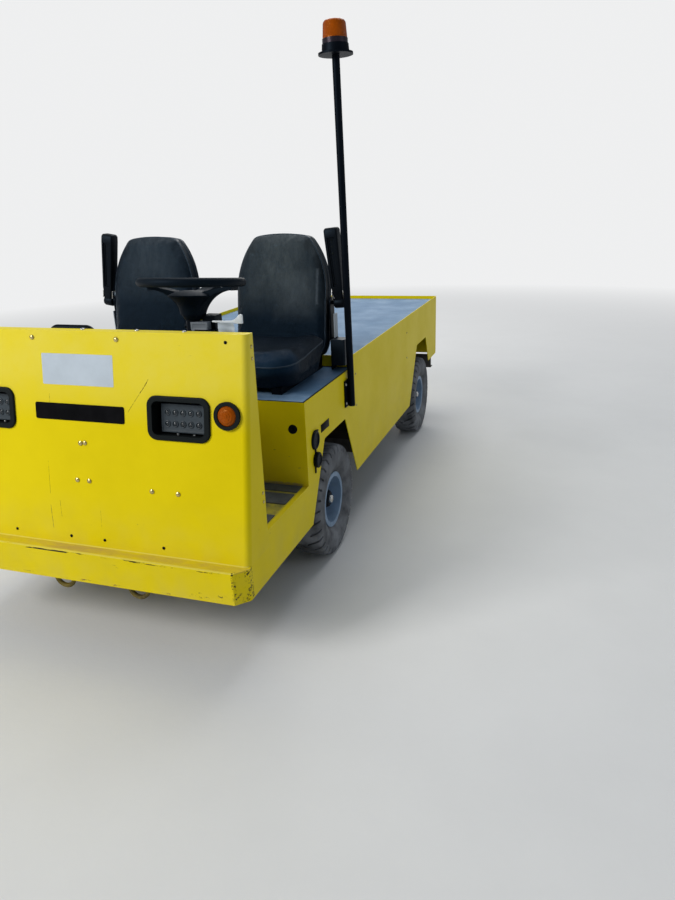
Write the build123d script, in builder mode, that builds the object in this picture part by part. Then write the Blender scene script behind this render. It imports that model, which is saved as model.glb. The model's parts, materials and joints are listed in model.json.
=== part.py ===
"""Electric utility vehicle: a two-seat flat-deck burden carrier with folded sheet-steel bodywork.

The vehicle faces -Y and stands on z = 0. Its left side, where the driver sits, is +X. Millimetres.
Heights are measured from the ground, lengths from the bumper's front face and widths from the
centre plane. The working planes below turn those into the model's frame, whose origin is the
bottom centre of the whole vehicle.
"""
from build123d import *
from math import atan2, cos, degrees, hypot, radians, sin, tan
import os

os.makedirs("parts", exist_ok=True)

# Driving dimensions
half_width = 590
sheet = 3
heavy_sheet = 5
wheelbase = 1688
front_axle_y = 881
rear_overhang = 461
tyre_radius = 235
tyre_width = 140
tyre_inset = 1
kingpin_offset = 89
hitch_reach = 40
rear_axle_y = front_axle_y + wheelbase
body_length = rear_axle_y + rear_overhang
wheel_plane_x = half_width - tyre_inset - tyre_width / 2
kingpin_x = wheel_plane_x - kingpin_offset

# Heights of the body
skirt_bottom = 256
ledge_top = 365
floor_top = 420
sill_top = floor_top + 4
seat_deck_top = 741
rail_top = 790
cowl_top = 1058
tail_bottom = 407

# Stations along the body
cowl_foot_y = 46
cowl_head_y = 156
cowl_rear_y = 193
seat_box_y = 565
seat_bay_length = 564
rear_bay_margin = 366
riser_y = seat_box_y + seat_bay_length
bay_rear_y = rear_axle_y - rear_bay_margin

# Beacon mast
mast_setback = 75
mast_y = riser_y - mast_setback
mast_radius = 14
mast_drop = 146
mast_bottom = seat_deck_top - mast_drop
mast_length = 1305
mast_lean = 0.9
mast_plate = 6
mast_stand_off = half_width + mast_plate + mast_radius
beacon_radius = 63

# Seats and armrests, set in from the body's sides by the side bars and belt retractors
seat_half_width = 210
side_bar = 6
retractor = (60, 62, 108)
retractor_side_gap = 8
seat_x = half_width - retractor_side_gap - retractor[0] - side_bar - seat_half_width
arm_gap = 5
arm_width = 56
arm_lean = 6
arm_pin_radius = 8
side_bar_width = 48
arm_pivot_setback = 24
arm_pivot_rise = 275
arm_pivot_y = riser_y - arm_pivot_setback
arm_pivot_z = seat_deck_top + arm_pivot_rise

# Fits
pin_clearance = 0.1

mast_head_x = mast_stand_off - mast_length * sin(radians(mast_lean))
overhang = mast_head_x + beacon_radius - half_width
center_x = -overhang / 2
front_y = -(body_length + hitch_reach) / 2
sides = (("left", 1), ("right", -1))


def level(z):
    """Plan plane at height z."""
    return Plane(origin=(center_x, front_y, z))


def side(x):
    """Side-view plane at width x: local x runs back, local y runs up."""
    return Plane(origin=(center_x + x, front_y, 0), x_dir=(0, 1, 0), z_dir=(1, 0, 0))


def front(y):
    """Front-view plane at station y: local x runs to the left side, local y runs up."""
    return Plane(origin=(center_x, front_y + y, 0), x_dir=(1, 0, 0), z_dir=(0, -1, 0))


def leaned(x, y, z, lean):
    """Front-view plane through a point, leaned back from upright by an angle in degrees."""
    normal = (0, -cos(radians(lean)), sin(radians(lean)))
    return Plane(origin=(center_x + x, front_y + y, z), x_dir=(1, 0, 0), z_dir=normal)


def keep(builder, name):
    """Label a finished piece and write it to its STEP file."""
    builder.part.label = name
    export_step(builder.part, f"parts/{name}.step")


# Chassis frame: two channel rails, five cross channels and a drawbar tongue
rail_height = 100
rail_width = 50
kingpin_to_rail = 205
rail_center_x = kingpin_x - kingpin_to_rail
frame_top = floor_top - 4
frame_bottom = frame_top - rail_height
frame_rear_y = body_length - 70
cross_height = 80
cross_depth = 50
cross_half = half_width - heavy_sheet
cross_starts = (80, seat_box_y - 65, riser_y + 51, bay_rear_y - 48, body_length - 140)
tongue_width = 110
tongue_thickness = 16
tongue_corner = 10
tongue_nose = 24
hitch_pin_radius = 13
hitch_pin_y = body_length + hitch_reach - tongue_nose

with BuildPart() as chassis_frame:
    with BuildSketch(front(cross_starts[0])):
        with Locations((rail_center_x, frame_top - rail_height / 2)):
            Rectangle(rail_width, rail_height)
        with Locations((rail_center_x - heavy_sheet, frame_top - rail_height / 2)):
            Rectangle(rail_width - heavy_sheet, rail_height - 2 * heavy_sheet, mode=Mode.SUBTRACT)
    extrude(amount=-(frame_rear_y - cross_starts[0]))
    mirror(about=side(0))
    for start in cross_starts:
        with BuildSketch(side(-cross_half)):
            with Locations((start + cross_depth / 2, frame_top - cross_height / 2)):
                Rectangle(cross_depth, cross_height)
            with Locations((start + cross_depth / 2 + heavy_sheet / 2, frame_top - cross_height / 2)):
                Rectangle(cross_depth - heavy_sheet, cross_height - 2 * heavy_sheet, mode=Mode.SUBTRACT)
        extrude(amount=2 * cross_half)
    tongue_z = frame_top - cross_height
    tongue_start = cross_starts[-1]
    with BuildSketch(level(tongue_z)):
        corner_x = tongue_width / 2 - tongue_corner
        with Locations((corner_x, tongue_start + tongue_corner), (-corner_x, tongue_start + tongue_corner)):
            Circle(tongue_corner)
        with Locations((0, hitch_pin_y)):
            Circle(tongue_nose)
        make_hull()
        with Locations((0, hitch_pin_y)):
            Circle(hitch_pin_radius, mode=Mode.SUBTRACT)
    extrude(amount=-tongue_thickness)
keep(chassis_frame, "chassis_frame")

# Front bumper: a folded channel with chamfered corners and a flat ledge under the cowl
chamfer_x = 38
chamfer_y = 42
ledge_thickness = 4
ledge_tuck = 10
bumper_rear_cut = 4 * heavy_sheet
with BuildPart() as front_bumper:
    with BuildSketch(level(skirt_bottom)) as bumper_plan:
        with BuildLine():
            Polyline(
                (-half_width, cowl_rear_y),
                (-half_width, chamfer_y),
                (-half_width + chamfer_x, 0),
                (half_width - chamfer_x, 0),
                (half_width, chamfer_y),
                (half_width, cowl_rear_y),
                close=True,
            )
        make_face()
        offset(amount=-heavy_sheet, mode=Mode.SUBTRACT)
        with Locations((0, cowl_rear_y)):
            Rectangle(2 * (half_width - heavy_sheet), bumper_rear_cut, mode=Mode.SUBTRACT)
    extrude(amount=ledge_top - skirt_bottom)
    with BuildSketch(level(ledge_top - ledge_thickness)):
        with BuildLine():
            Polyline(
                (-half_width, cowl_foot_y + ledge_tuck),
                (-half_width, chamfer_y),
                (-half_width + chamfer_x, 0),
                (half_width - chamfer_x, 0),
                (half_width, chamfer_y),
                (half_width, cowl_foot_y + ledge_tuck),
                close=True,
            )
        make_face()
    extrude(amount=ledge_thickness)
keep(front_bumper, "front_bumper")

# Front cowl: one folded sheet that leans back, with side flanges and a top lip
cowl_rise = cowl_top - ledge_top
cowl_lean = degrees(atan2(cowl_head_y - cowl_foot_y, cowl_rise))
cowl_bend = 20
cowl_face = leaned(0, cowl_foot_y, ledge_top, cowl_lean)
lamp_x = half_width - 230
lamp_z = 805
lamp_cut = (186, 110)
lamp_corner = 22
marker_x = half_width - 65
marker_z = 824
marker_cut_radius = 33


def up_the_cowl(z):
    """Distance along the cowl's face from its foot to height z."""
    return (z - ledge_top) / cos(radians(cowl_lean))


def cowl_inside_y(z):
    """Station of the cowl's inner face at height z."""
    slope = tan(radians(cowl_lean))
    return cowl_foot_y + (z - ledge_top) * slope + sheet / cos(radians(cowl_lean))


with BuildPart() as front_cowl:
    with BuildSketch(side(-half_width)):
        with BuildLine():
            Polyline(
                (cowl_foot_y, ledge_top),
                (cowl_head_y, cowl_top),
                (cowl_rear_y, cowl_top),
                (cowl_rear_y, ledge_top),
                close=True,
            )
        make_face()
    extrude(amount=2 * half_width)
    bends = front_cowl.edges().filter_by(lambda e: abs(e.length - hypot(cowl_rise, cowl_head_y - cowl_foot_y)) < 1)
    fillet(bends, cowl_bend)
    open_faces = [front_cowl.faces().sort_by(Axis.Y)[-1], front_cowl.faces().sort_by(Axis.Z)[0]]
    offset(amount=-sheet, openings=open_faces)
    with BuildSketch(cowl_face):
        with Locations((lamp_x, up_the_cowl(lamp_z)), (-lamp_x, up_the_cowl(lamp_z))):
            RectangleRounded(*lamp_cut, lamp_corner)
        with Locations((marker_x, up_the_cowl(marker_z)), (-marker_x, up_the_cowl(marker_z))):
            Circle(marker_cut_radius)
    extrude(amount=-2 * sheet, mode=Mode.SUBTRACT)
keep(front_cowl, "front_cowl")

# Lamp surrounds: moulded headlight buckets and round marker grommets
bezel = (216, 137)
bezel_corner = 32
bezel_opening = (180, 104)
bezel_lip = 7
bezel_round = 4
bucket_depth = 74
bucket_wall = 3
grommet_radius = 42.5
grommet_lip = 9
grommet_sleeve = 12
grommet_floor = 6
marker_lens_radius = 31
out_of_cowl = Axis(cowl_face.origin, cowl_face.z_dir)
with BuildPart() as lamp_surrounds:
    lamp_spots = ((lamp_x, up_the_cowl(lamp_z)), (-lamp_x, up_the_cowl(lamp_z)))
    marker_spots = ((marker_x, up_the_cowl(marker_z)), (-marker_x, up_the_cowl(marker_z)))
    with BuildSketch(cowl_face):
        with Locations(*lamp_spots):
            RectangleRounded(*bezel, bezel_corner)
    extrude(amount=bezel_lip)
    fillet(lamp_surrounds.faces().sort_by(out_of_cowl)[-2:].edges(), bezel_round)
    with BuildSketch(cowl_face):
        with Locations(*lamp_spots):
            RectangleRounded(bezel_opening[0] + 2 * bucket_wall, bezel_opening[1] + 2 * bucket_wall, lamp_corner)
    extrude(amount=-bucket_depth)
    with BuildSketch(cowl_face.offset(bezel_lip)):
        with Locations(*lamp_spots):
            RectangleRounded(*bezel_opening, lamp_corner - bucket_wall)
    extrude(amount=-(bucket_depth + bezel_lip - bucket_wall), mode=Mode.SUBTRACT)
    with BuildSketch(cowl_face):
        with Locations(*marker_spots):
            Circle(grommet_radius)
    extrude(amount=grommet_lip)
    with BuildSketch(cowl_face):
        with Locations(*marker_spots):
            Circle(marker_cut_radius)
    extrude(amount=-grommet_sleeve)
    with BuildSketch(cowl_face.offset(grommet_lip)):
        with Locations(*marker_spots):
            Circle(marker_lens_radius)
    extrude(amount=-(grommet_lip + grommet_floor), mode=Mode.SUBTRACT)
keep(lamp_surrounds, "lamp_surrounds")

# Headlight lamps: finned blocks with a framed face, set back in the buckets
lamp_block = (152, 88)
lamp_face_depth = 26
lamp_rim = 5
lamp_block_corner = 8
led_columns = 5
led_rows = 2
led_pitch = (27, 36)
led_radius = 5
lamp_recess = 15
led_height = 3
with BuildPart() as headlight_lamps:
    with BuildSketch(cowl_face.offset(-lamp_face_depth)):
        with Locations(*lamp_spots):
            RectangleRounded(*lamp_block, lamp_block_corner)
    extrude(amount=-(bucket_depth - bucket_wall - lamp_face_depth))
    with BuildSketch(cowl_face.offset(-lamp_face_depth)):
        with Locations(*lamp_spots):
            RectangleRounded(lamp_block[0] - 2 * lamp_rim, lamp_block[1] - 2 * lamp_rim, lamp_rim)
    extrude(amount=-lamp_recess, mode=Mode.SUBTRACT)
    with BuildSketch(cowl_face.offset(-lamp_face_depth - lamp_recess)):
        with Locations(*lamp_spots):
            with GridLocations(led_pitch[0], led_pitch[1], led_columns, led_rows):
                Circle(led_radius)
    extrude(amount=led_height)
keep(headlight_lamps, "headlight_lamps")

# Marker lenses: domed amber discs in the grommets
marker_sink = 3
marker_dome = (9, 28)  # height, slope
with BuildPart() as marker_lenses:
    with BuildSketch(cowl_face.offset(grommet_lip - marker_sink)):
        with Locations(*marker_spots):
            Circle(marker_lens_radius)
    extrude(amount=-(grommet_lip - marker_sink + grommet_floor))
    with BuildSketch(cowl_face.offset(grommet_lip - marker_sink)):
        with Locations(*marker_spots):
            Circle(marker_lens_radius - marker_sink)
    extrude(amount=marker_dome[0], taper=marker_dome[1])
keep(marker_lenses, "marker_lenses")

# Steering geometry: the column leans back a little from upright
helm_inset = 281
wheel_hub_x = half_width - helm_inset
helm_y = 365
helm_z = 1181
column_lean = 6
column_radius = 24
column_bore = 10
column_hole = column_radius + 6
column_axis = (0, sin(radians(column_lean)), cos(radians(column_lean)))
helm = Plane(origin=(center_x + wheel_hub_x, front_y + helm_y, helm_z), x_dir=(1, 0, 0), z_dir=column_axis)


def column_y(z):
    """Station of the column's axis at height z."""
    return helm_y - (helm_z - z) * tan(radians(column_lean))


# Footwell: the floor plate and the upright sheet in front of the seats
cable_hole_x = half_width - 49
cable_hole_z = 642
cable_hole_radius = 17
floor_front_y = cross_starts[0]
inside = half_width - sheet
with BuildPart() as footwell:
    with BuildSketch(level(frame_top)):
        with Locations((0, (floor_front_y + seat_box_y + sheet) / 2)):
            Rectangle(2 * inside, seat_box_y + sheet - floor_front_y)
        with Locations((wheel_hub_x, column_y(floor_top))):
            Circle(column_hole, mode=Mode.SUBTRACT)
    extrude(amount=floor_top - frame_top)
    with BuildSketch(front(seat_box_y)):
        with Locations((0, (frame_top + seat_deck_top) / 2)):
            Rectangle(2 * inside, seat_deck_top - frame_top)
        with Locations((cable_hole_x, cable_hole_z)):
            Circle(cable_hole_radius, mode=Mode.SUBTRACT)
    extrude(amount=-sheet)
keep(footwell, "footwell")

# Floor mats: grip strips with painted floor between them
mat_thickness = 3
mat_margin = 22
mat_bands = ((100, 180), (217, 307), (398, 485), (505, 563))  # front edge, rear edge
with BuildPart() as floor_mats:
    with BuildSketch(level(floor_top)):
        for band_front, band_rear in mat_bands:
            with Locations((0, (band_front + band_rear) / 2)):
                Rectangle(2 * (inside - mat_margin), band_rear - band_front)
        with Locations((wheel_hub_x, column_y(floor_top))):
            Circle(column_hole + 6, mode=Mode.SUBTRACT)
    extrude(amount=mat_thickness)
keep(floor_mats, "floor_mats")

# Side panels: one sheet each, stepped at the sill and the seat deck, with trapezoid wheel arches
front_arch_top = 546
rear_arch_top = 578
front_arch = (
    (front_axle_y - 290, skirt_bottom),
    (front_axle_y - 123, front_arch_top),
    (front_axle_y + 138, front_arch_top),
    (front_axle_y + 288, skirt_bottom),
)
rear_arch = (
    (rear_axle_y - 340, skirt_bottom),
    (rear_axle_y - 138, rear_arch_top),
    (rear_axle_y + 123, rear_arch_top),
    (rear_axle_y + 216, tail_bottom),
)
arch_fillet = 12
for side_name, sign in sides:
    with BuildPart() as side_panel:
        with BuildSketch(side(sign * half_width)):
            with BuildLine():
                Polyline(
                    (cowl_rear_y, skirt_bottom),
                    *front_arch,
                    *rear_arch,
                    (body_length, tail_bottom),
                    (body_length, rail_top),
                    (riser_y, rail_top),
                    (riser_y, seat_deck_top),
                    (seat_box_y, seat_deck_top),
                    (seat_box_y, sill_top),
                    (cowl_rear_y, sill_top),
                    close=True,
                )
            make_face()
        extrude(amount=-sign * sheet)
        corners = side_panel.edges().filter_by(Axis.X)
        for arch_top in (front_arch_top, rear_arch_top):
            fillet(corners.filter_by_position(Axis.Z, arch_top - 1, arch_top + 1), arch_fillet)
    keep(side_panel, f"side_panel_{side_name}")

# Seat deck: a flat plate let in between the panels
deck_drop = 1
deck_plate = 4
with BuildPart() as seat_deck:
    with BuildSketch(level(seat_deck_top - deck_drop)):
        with Locations((0, (seat_box_y + sheet + riser_y) / 2)):
            Rectangle(2 * inside, riser_y - seat_box_y - sheet)
    extrude(amount=-deck_plate)
keep(seat_deck, "seat_deck")

# Bulkheads: the riser behind the seats and the wall behind the battery bay
cargo_top = rail_top - 20
stringer_height = 40
with BuildPart() as bulkheads:
    with BuildSketch(front(riser_y)):
        with Locations((0, (frame_top + rail_top) / 2)):
            Rectangle(2 * inside, rail_top - frame_top)
    extrude(amount=-sheet)
    wall_top = cargo_top - deck_plate - stringer_height
    with BuildSketch(front(bay_rear_y)):
        with Locations((0, (frame_top + wall_top) / 2)):
            Rectangle(2 * inside, wall_top - frame_top)
    extrude(amount=-sheet)
keep(bulkheads, "bulkheads")

# Cargo deck: a grip plate on three box stringers, sunk below the rails
tail_inner_y = body_length - sheet
with BuildPart() as cargo_deck:
    with BuildSketch(level(cargo_top)):
        with Locations((0, (riser_y + sheet + tail_inner_y) / 2)):
            Rectangle(2 * inside, tail_inner_y - riser_y - sheet)
    extrude(amount=-deck_plate)
keep(cargo_deck, "cargo_deck")

with BuildPart() as deck_stringers:
    with BuildSketch(front(riser_y + sheet)):
        with Locations(*((x, wall_top + stringer_height / 2) for x in (-rail_center_x, 0, rail_center_x))):
            Rectangle(rail_width, stringer_height)
            Rectangle(rail_width - 2 * sheet, stringer_height - 2 * sheet, mode=Mode.SUBTRACT)
    extrude(amount=-(tail_inner_y - riser_y - sheet))
keep(deck_stringers, "deck_stringers")

# Tail panel with its two round lamps
tail_lamp_x = half_width - 110
tail_lamp_z = 640
tail_lamp_radius = 45
tail_lamp_hole = tail_lamp_radius - 6
tail_lamp_body = 18
tail_lamp_dome = (10, 20)  # height, slope
with BuildPart() as tail_panel:
    with BuildSketch(front(tail_inner_y)):
        with Locations((0, (tail_bottom + rail_top) / 2)):
            Rectangle(2 * inside, rail_top - tail_bottom)
        with Locations((tail_lamp_x, tail_lamp_z), (-tail_lamp_x, tail_lamp_z)):
            Circle(tail_lamp_hole, mode=Mode.SUBTRACT)
    extrude(amount=-sheet)
keep(tail_panel, "tail_panel")

with BuildPart() as tail_lamps:
    with BuildSketch(front(tail_inner_y - tail_lamp_body)):
        with Locations((tail_lamp_x, tail_lamp_z), (-tail_lamp_x, tail_lamp_z)):
            Circle(tail_lamp_hole)
    extrude(amount=-(tail_lamp_body + sheet))
    with BuildSketch(front(body_length)):
        with Locations((tail_lamp_x, tail_lamp_z), (-tail_lamp_x, tail_lamp_z)):
            Circle(tail_lamp_radius)
    extrude(amount=-tail_lamp_dome[0], taper=tail_lamp_dome[1])
keep(tail_lamps, "tail_lamps")

# Dash: a folded shelf behind the cowl, a column clamp and a grab bar for the passenger
dash_top = cowl_top - 58
dash_bottom = dash_top - 120
dash_rear_y = cowl_rear_y + 31
dash_left = half_width - 110
dash_right = -190
grab_x = -50
grab_half = 80
grab_y = cowl_rear_y + 15
grab_top = cowl_top - 2
grab_tube = 11
clamp_z = dash_top - 50
clamp_height = 26
clamp_wall = 10
clamp_arm = (30, 16)  # width, height
grab_bend = 26
with BuildPart() as dash_panel:
    with BuildSketch(side(dash_right)):
        with BuildLine():
            Polyline(
                (cowl_inside_y(dash_top), dash_top),
                (dash_rear_y, dash_top),
                (dash_rear_y, dash_bottom),
                (dash_rear_y - sheet, dash_bottom),
                (dash_rear_y - sheet, dash_top - sheet),
                (cowl_inside_y(dash_top - sheet), dash_top - sheet),
                close=True,
            )
        make_face()
    extrude(amount=dash_left - dash_right)
    with BuildSketch(level(clamp_z - clamp_arm[1] / 2)):
        with Locations((wheel_hub_x, (dash_rear_y + column_y(clamp_z)) / 2)):
            Rectangle(clamp_arm[0], column_y(clamp_z) - dash_rear_y)
    extrude(amount=clamp_arm[1])
    clamp_down = (helm_z - clamp_z) / cos(radians(column_lean)) + clamp_height / 2
    with BuildSketch(helm.offset(-clamp_down)):
        Circle(column_radius + clamp_wall)
    extrude(amount=clamp_height)
    with BuildSketch(helm.offset(-clamp_down - clamp_height)):
        Circle(column_radius)
    extrude(amount=3 * clamp_height, mode=Mode.SUBTRACT)
    with BuildLine(front(grab_y)) as grab_path:
        FilletPolyline(
            (grab_x - grab_half, dash_top),
            (grab_x - grab_half, grab_top),
            (grab_x + grab_half, grab_top),
            (grab_x + grab_half, dash_top),
            radius=grab_bend,
        )
    with BuildSketch(level(dash_top)):
        with Locations((grab_x - grab_half, grab_y)):
            Circle(grab_tube)
    sweep(path=grab_path.wires()[0])
keep(dash_panel, "dash_panel")

# Steering column with its switch housing, and the gear case under the floor
gear_top = frame_top - 11
gear_bottom = frame_top - 76
pitman_y = 400
gear_case = (kingpin_x - 180, kingpin_x + 40, pitman_y - 160, pitman_y + 50)  # right, left, front, rear faces
column_top = 120
column_foot = (helm_z - gear_top) / cos(radians(column_lean))
switch_box = (82, 52, 62)
switch_drop = 26
bore_depth = 90
sector_shaft = 14
sector_depth = 45
case_corner = 20
with BuildPart() as steering_column:
    with BuildSketch(helm.offset(-column_foot)):
        Circle(column_radius)
    extrude(amount=column_foot - column_top)
    with BuildSketch(level(gear_bottom)):
        with Locations(((gear_case[0] + gear_case[1]) / 2, (gear_case[2] + gear_case[3]) / 2)):
            RectangleRounded(gear_case[1] - gear_case[0], gear_case[3] - gear_case[2], case_corner)
    extrude(amount=frame_top - gear_bottom)
    with BuildSketch(helm.offset(-column_top - switch_drop - switch_box[2])):
        with Locations((column_radius + switch_box[0] / 2 - 12, 0)):
            RectangleRounded(switch_box[0], switch_box[1], 8)
    extrude(amount=switch_box[2])
    with BuildSketch(helm.offset(-column_top)):
        Circle(column_bore + pin_clearance)
    extrude(amount=-bore_depth, mode=Mode.SUBTRACT)
    with BuildSketch(level(gear_bottom)):
        with Locations((kingpin_x, pitman_y)):
            Circle(sector_shaft + pin_clearance)
    extrude(amount=sector_depth, mode=Mode.SUBTRACT)
keep(steering_column, "steering_column")

# Steering wheel: a thick rim on three deep webs that rise from a funnel hub
rim_radius = 158
rim_tube = 14
hub_bottom = -118
hub_profile = ((26, hub_bottom), (36, -104), (38, -80), (44, -52), (42, -30))  # radius, height
spoke_angles = (0, 90, 180)
spoke_width = 46
spoke_foot = (34, -98)
spoke_belly = (64, -52)
spoke_tip = ((150, -25), (152, -8))  # lower and upper ends in the rim
spoke_top = (20, -34)
shaft_length = bore_depth - 4
with BuildPart() as steering_wheel:
    rim_plane = Plane(origin=helm.origin, x_dir=helm.x_dir, z_dir=-helm.y_dir)
    wheel_axis = Axis(helm.origin, helm.z_dir)
    with BuildSketch(rim_plane):
        with Locations((rim_radius, 0)):
            Circle(rim_tube)
    revolve(axis=wheel_axis)
    with BuildSketch(rim_plane):
        with BuildLine():
            Polyline((0, hub_bottom), *hub_profile, (0, hub_profile[-1][1]), close=True)
        make_face()
    revolve(axis=wheel_axis)
    for angle in spoke_angles:
        spoke_plane = Plane(
            origin=helm.origin,
            x_dir=helm.x_dir * cos(radians(angle)) + helm.y_dir * sin(radians(angle)),
            z_dir=helm.x_dir * sin(radians(angle)) - helm.y_dir * cos(radians(angle)),
        )
        with BuildSketch(spoke_plane):
            with BuildLine():
                ThreePointArc(spoke_foot, spoke_belly, spoke_tip[0])
                Polyline(*spoke_tip, spoke_top, spoke_foot)
            make_face()
        extrude(amount=spoke_width / 2, both=True)
    with BuildSketch(helm.offset(hub_bottom)):
        Circle(column_bore)
    extrude(amount=-shaft_length)
keep(steering_wheel, "steering_wheel")

# Pedals: a cross bar behind the cowl with two hanging arms
pedal_bar_z = 690
pedal_rows = ((wheel_hub_x - 75, 60), (wheel_hub_x + 110, 46))  # centre width, pad width
pedal_arm = ((0, 10), (24, 10), (42, -130), (82, -188), (66, -200), (20, -134))  # back and up from the root
pedal_arm_thickness = 12
pedal_pad_spot = (74, -196)
pedal_pad_lean = 38
pedal_pad_length = 82
pedal_pad_thickness = 9
pedal_pad_corner = 8
pedal_bar = (40, 30, 30)  # overhang in all, height, depth
pedal_root_y = cowl_inside_y(pedal_bar_z) + 9
with BuildPart() as pedals:
    with BuildSketch(cowl_face.offset(-sheet)):
        with Locations(((pedal_rows[0][0] + pedal_rows[1][0]) / 2, up_the_cowl(pedal_bar_z))):
            Rectangle(pedal_rows[1][0] - pedal_rows[0][0] + pedal_bar[0], pedal_bar[1])
    extrude(amount=-pedal_bar[2])
    for pedal_x, pad_width in pedal_rows:
        with BuildSketch(side(pedal_x - pedal_arm_thickness / 2)):
            with BuildLine():
                Polyline(*((pedal_root_y + y, pedal_bar_z + z) for y, z in pedal_arm), close=True)
            make_face()
        extrude(amount=pedal_arm_thickness)
        pad_y, pad_z = pedal_root_y + pedal_pad_spot[0], pedal_bar_z + pedal_pad_spot[1]
        with BuildSketch(leaned(pedal_x, pad_y, pad_z, pedal_pad_lean)):
            RectangleRounded(pad_width, pedal_pad_length, pedal_pad_corner)
        extrude(amount=-pedal_pad_thickness)
keep(pedals, "pedals")

# Charge receptacle on the left panel with its cap hanging below
port_y = seat_box_y + 87
port_z = 566
port_half = 37
port_cap_y = port_y + 12
port_cap_z = port_z - 94
port_cap_radius = 34
with BuildPart() as charge_port:
    with BuildSketch(side(half_width)):
        with Locations((port_y, port_z)):
            SlotOverall(2 * port_half + 30, 2 * port_half, rotation=90)
    extrude(amount=8)
    with BuildSketch(side(half_width + 8)):
        with Locations((port_y, port_z)):
            Circle(port_half - 4)
            Circle(port_half - 10, mode=Mode.SUBTRACT)
    extrude(amount=9)
    with BuildSketch(side(half_width)):
        with Locations(((port_y + port_cap_y) / 2, (port_z + port_cap_z) / 2)):
            Rectangle(10, port_z - port_cap_z - 40)
    extrude(amount=4)
    with BuildSketch(side(half_width)):
        with Locations((port_cap_y, port_cap_z)):
            Circle(port_cap_radius)
    extrude(amount=14)
keep(charge_port, "charge_port")

# Tie-down loops: two bent rods under the bumper
loop_y = cross_starts[0] + 4
loop_half = 36
loop_rod = 8
loop_rail_gap = 6
loop_x = rail_center_x - rail_width / 2 - loop_rail_gap - loop_rod - loop_half
loop_turn_z = 210
with BuildPart() as tie_down_loops:
    for spot in (loop_x, -loop_x):
        with BuildLine(front(loop_y)) as loop_path:
            Line((spot - loop_half, frame_top - cross_height), (spot - loop_half, loop_turn_z))
            ThreePointArc(
                (spot - loop_half, loop_turn_z),
                (spot, loop_turn_z - loop_half),
                (spot + loop_half, loop_turn_z),
            )
            Line((spot + loop_half, loop_turn_z), (spot + loop_half, frame_top - cross_height))
        with BuildSketch(level(frame_top - cross_height)):
            with Locations((spot - loop_half, loop_y)):
                Circle(loop_rod)
        sweep(path=loop_path.wires()[0])
keep(tie_down_loops, "tie_down_loops")

# Battery pack: one block on a steel tray between the axles
pack_setback = 171
pack_length = 680
pack_front_y = riser_y + pack_setback
pack_rear_y = pack_front_y + pack_length
pack_half = 270
pack_height = 280
tray_margin = 15
tray_thickness = 4
with BuildPart() as battery_pack:
    with BuildSketch(level(frame_top)):
        with Locations((0, (pack_front_y + pack_rear_y) / 2)):
            Rectangle(2 * (pack_half + tray_margin), pack_length + 2 * tray_margin)
    extrude(amount=tray_thickness)
    with BuildSketch(level(frame_top + tray_thickness)):
        with Locations((0, (pack_front_y + pack_rear_y) / 2)):
            Rectangle(2 * pack_half, pack_length)
    extrude(amount=pack_height)
keep(battery_pack, "battery_pack")

# Leaf springs: three leaves a side, arched up to eyes under the rails
leaf_width = 45
leaf_thickness = 8
leaf_seat_z = tyre_radius + 33
leaf_rows = ((290, 14), (205, 8), (120, 3))  # half length, rise at the ends
eye_radius = 14
axle_tube = 30
rear_tube = 32
clamp_half_width = 30
clamp_length = 84
clamp_bottom = tyre_radius - 35
clamp_top = leaf_seat_z + len(leaf_rows) * leaf_thickness + 4


def leaf_spring(axle_y):
    """Make the left spring over an axle, with its eyes hung under the rail and its clamp block."""
    with BuildPart() as spring:
        for row, (half_length, rise) in enumerate(leaf_rows):
            base = leaf_seat_z + (len(leaf_rows) - 1 - row) * leaf_thickness
            top = base + leaf_thickness
            ends = (axle_y - half_length, axle_y + half_length)
            with BuildSketch(side(rail_center_x - leaf_width / 2)):
                with BuildLine():
                    ThreePointArc((ends[0], base + rise), (axle_y, base), (ends[1], base + rise))
                    Line((ends[1], base + rise), (ends[1], top + rise))
                    ThreePointArc((ends[1], top + rise), (axle_y, top), (ends[0], top + rise))
                    Line((ends[0], top + rise), (ends[0], base + rise))
                make_face()
            extrude(amount=leaf_width)
        eye_spots = [(axle_y - leaf_rows[0][0], frame_bottom - eye_radius)]
        eye_spots.append((axle_y + leaf_rows[0][0], frame_bottom - eye_radius))
        with BuildSketch(side(rail_center_x - leaf_width / 2)):
            with Locations(*eye_spots):
                Circle(eye_radius)
        extrude(amount=leaf_width)
        with BuildSketch(level(frame_bottom)):
            with Locations(*((rail_center_x, y) for y, eye_z in eye_spots)):
                Rectangle(leaf_width + 4, 2 * eye_radius + 12)
        extrude(amount=-eye_radius)
        with BuildSketch(side(rail_center_x - clamp_half_width)):
            with Locations((axle_y, (clamp_bottom + clamp_top) / 2)):
                Rectangle(clamp_length, clamp_top - clamp_bottom)
        extrude(amount=2 * clamp_half_width)
    return spring.part


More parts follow.
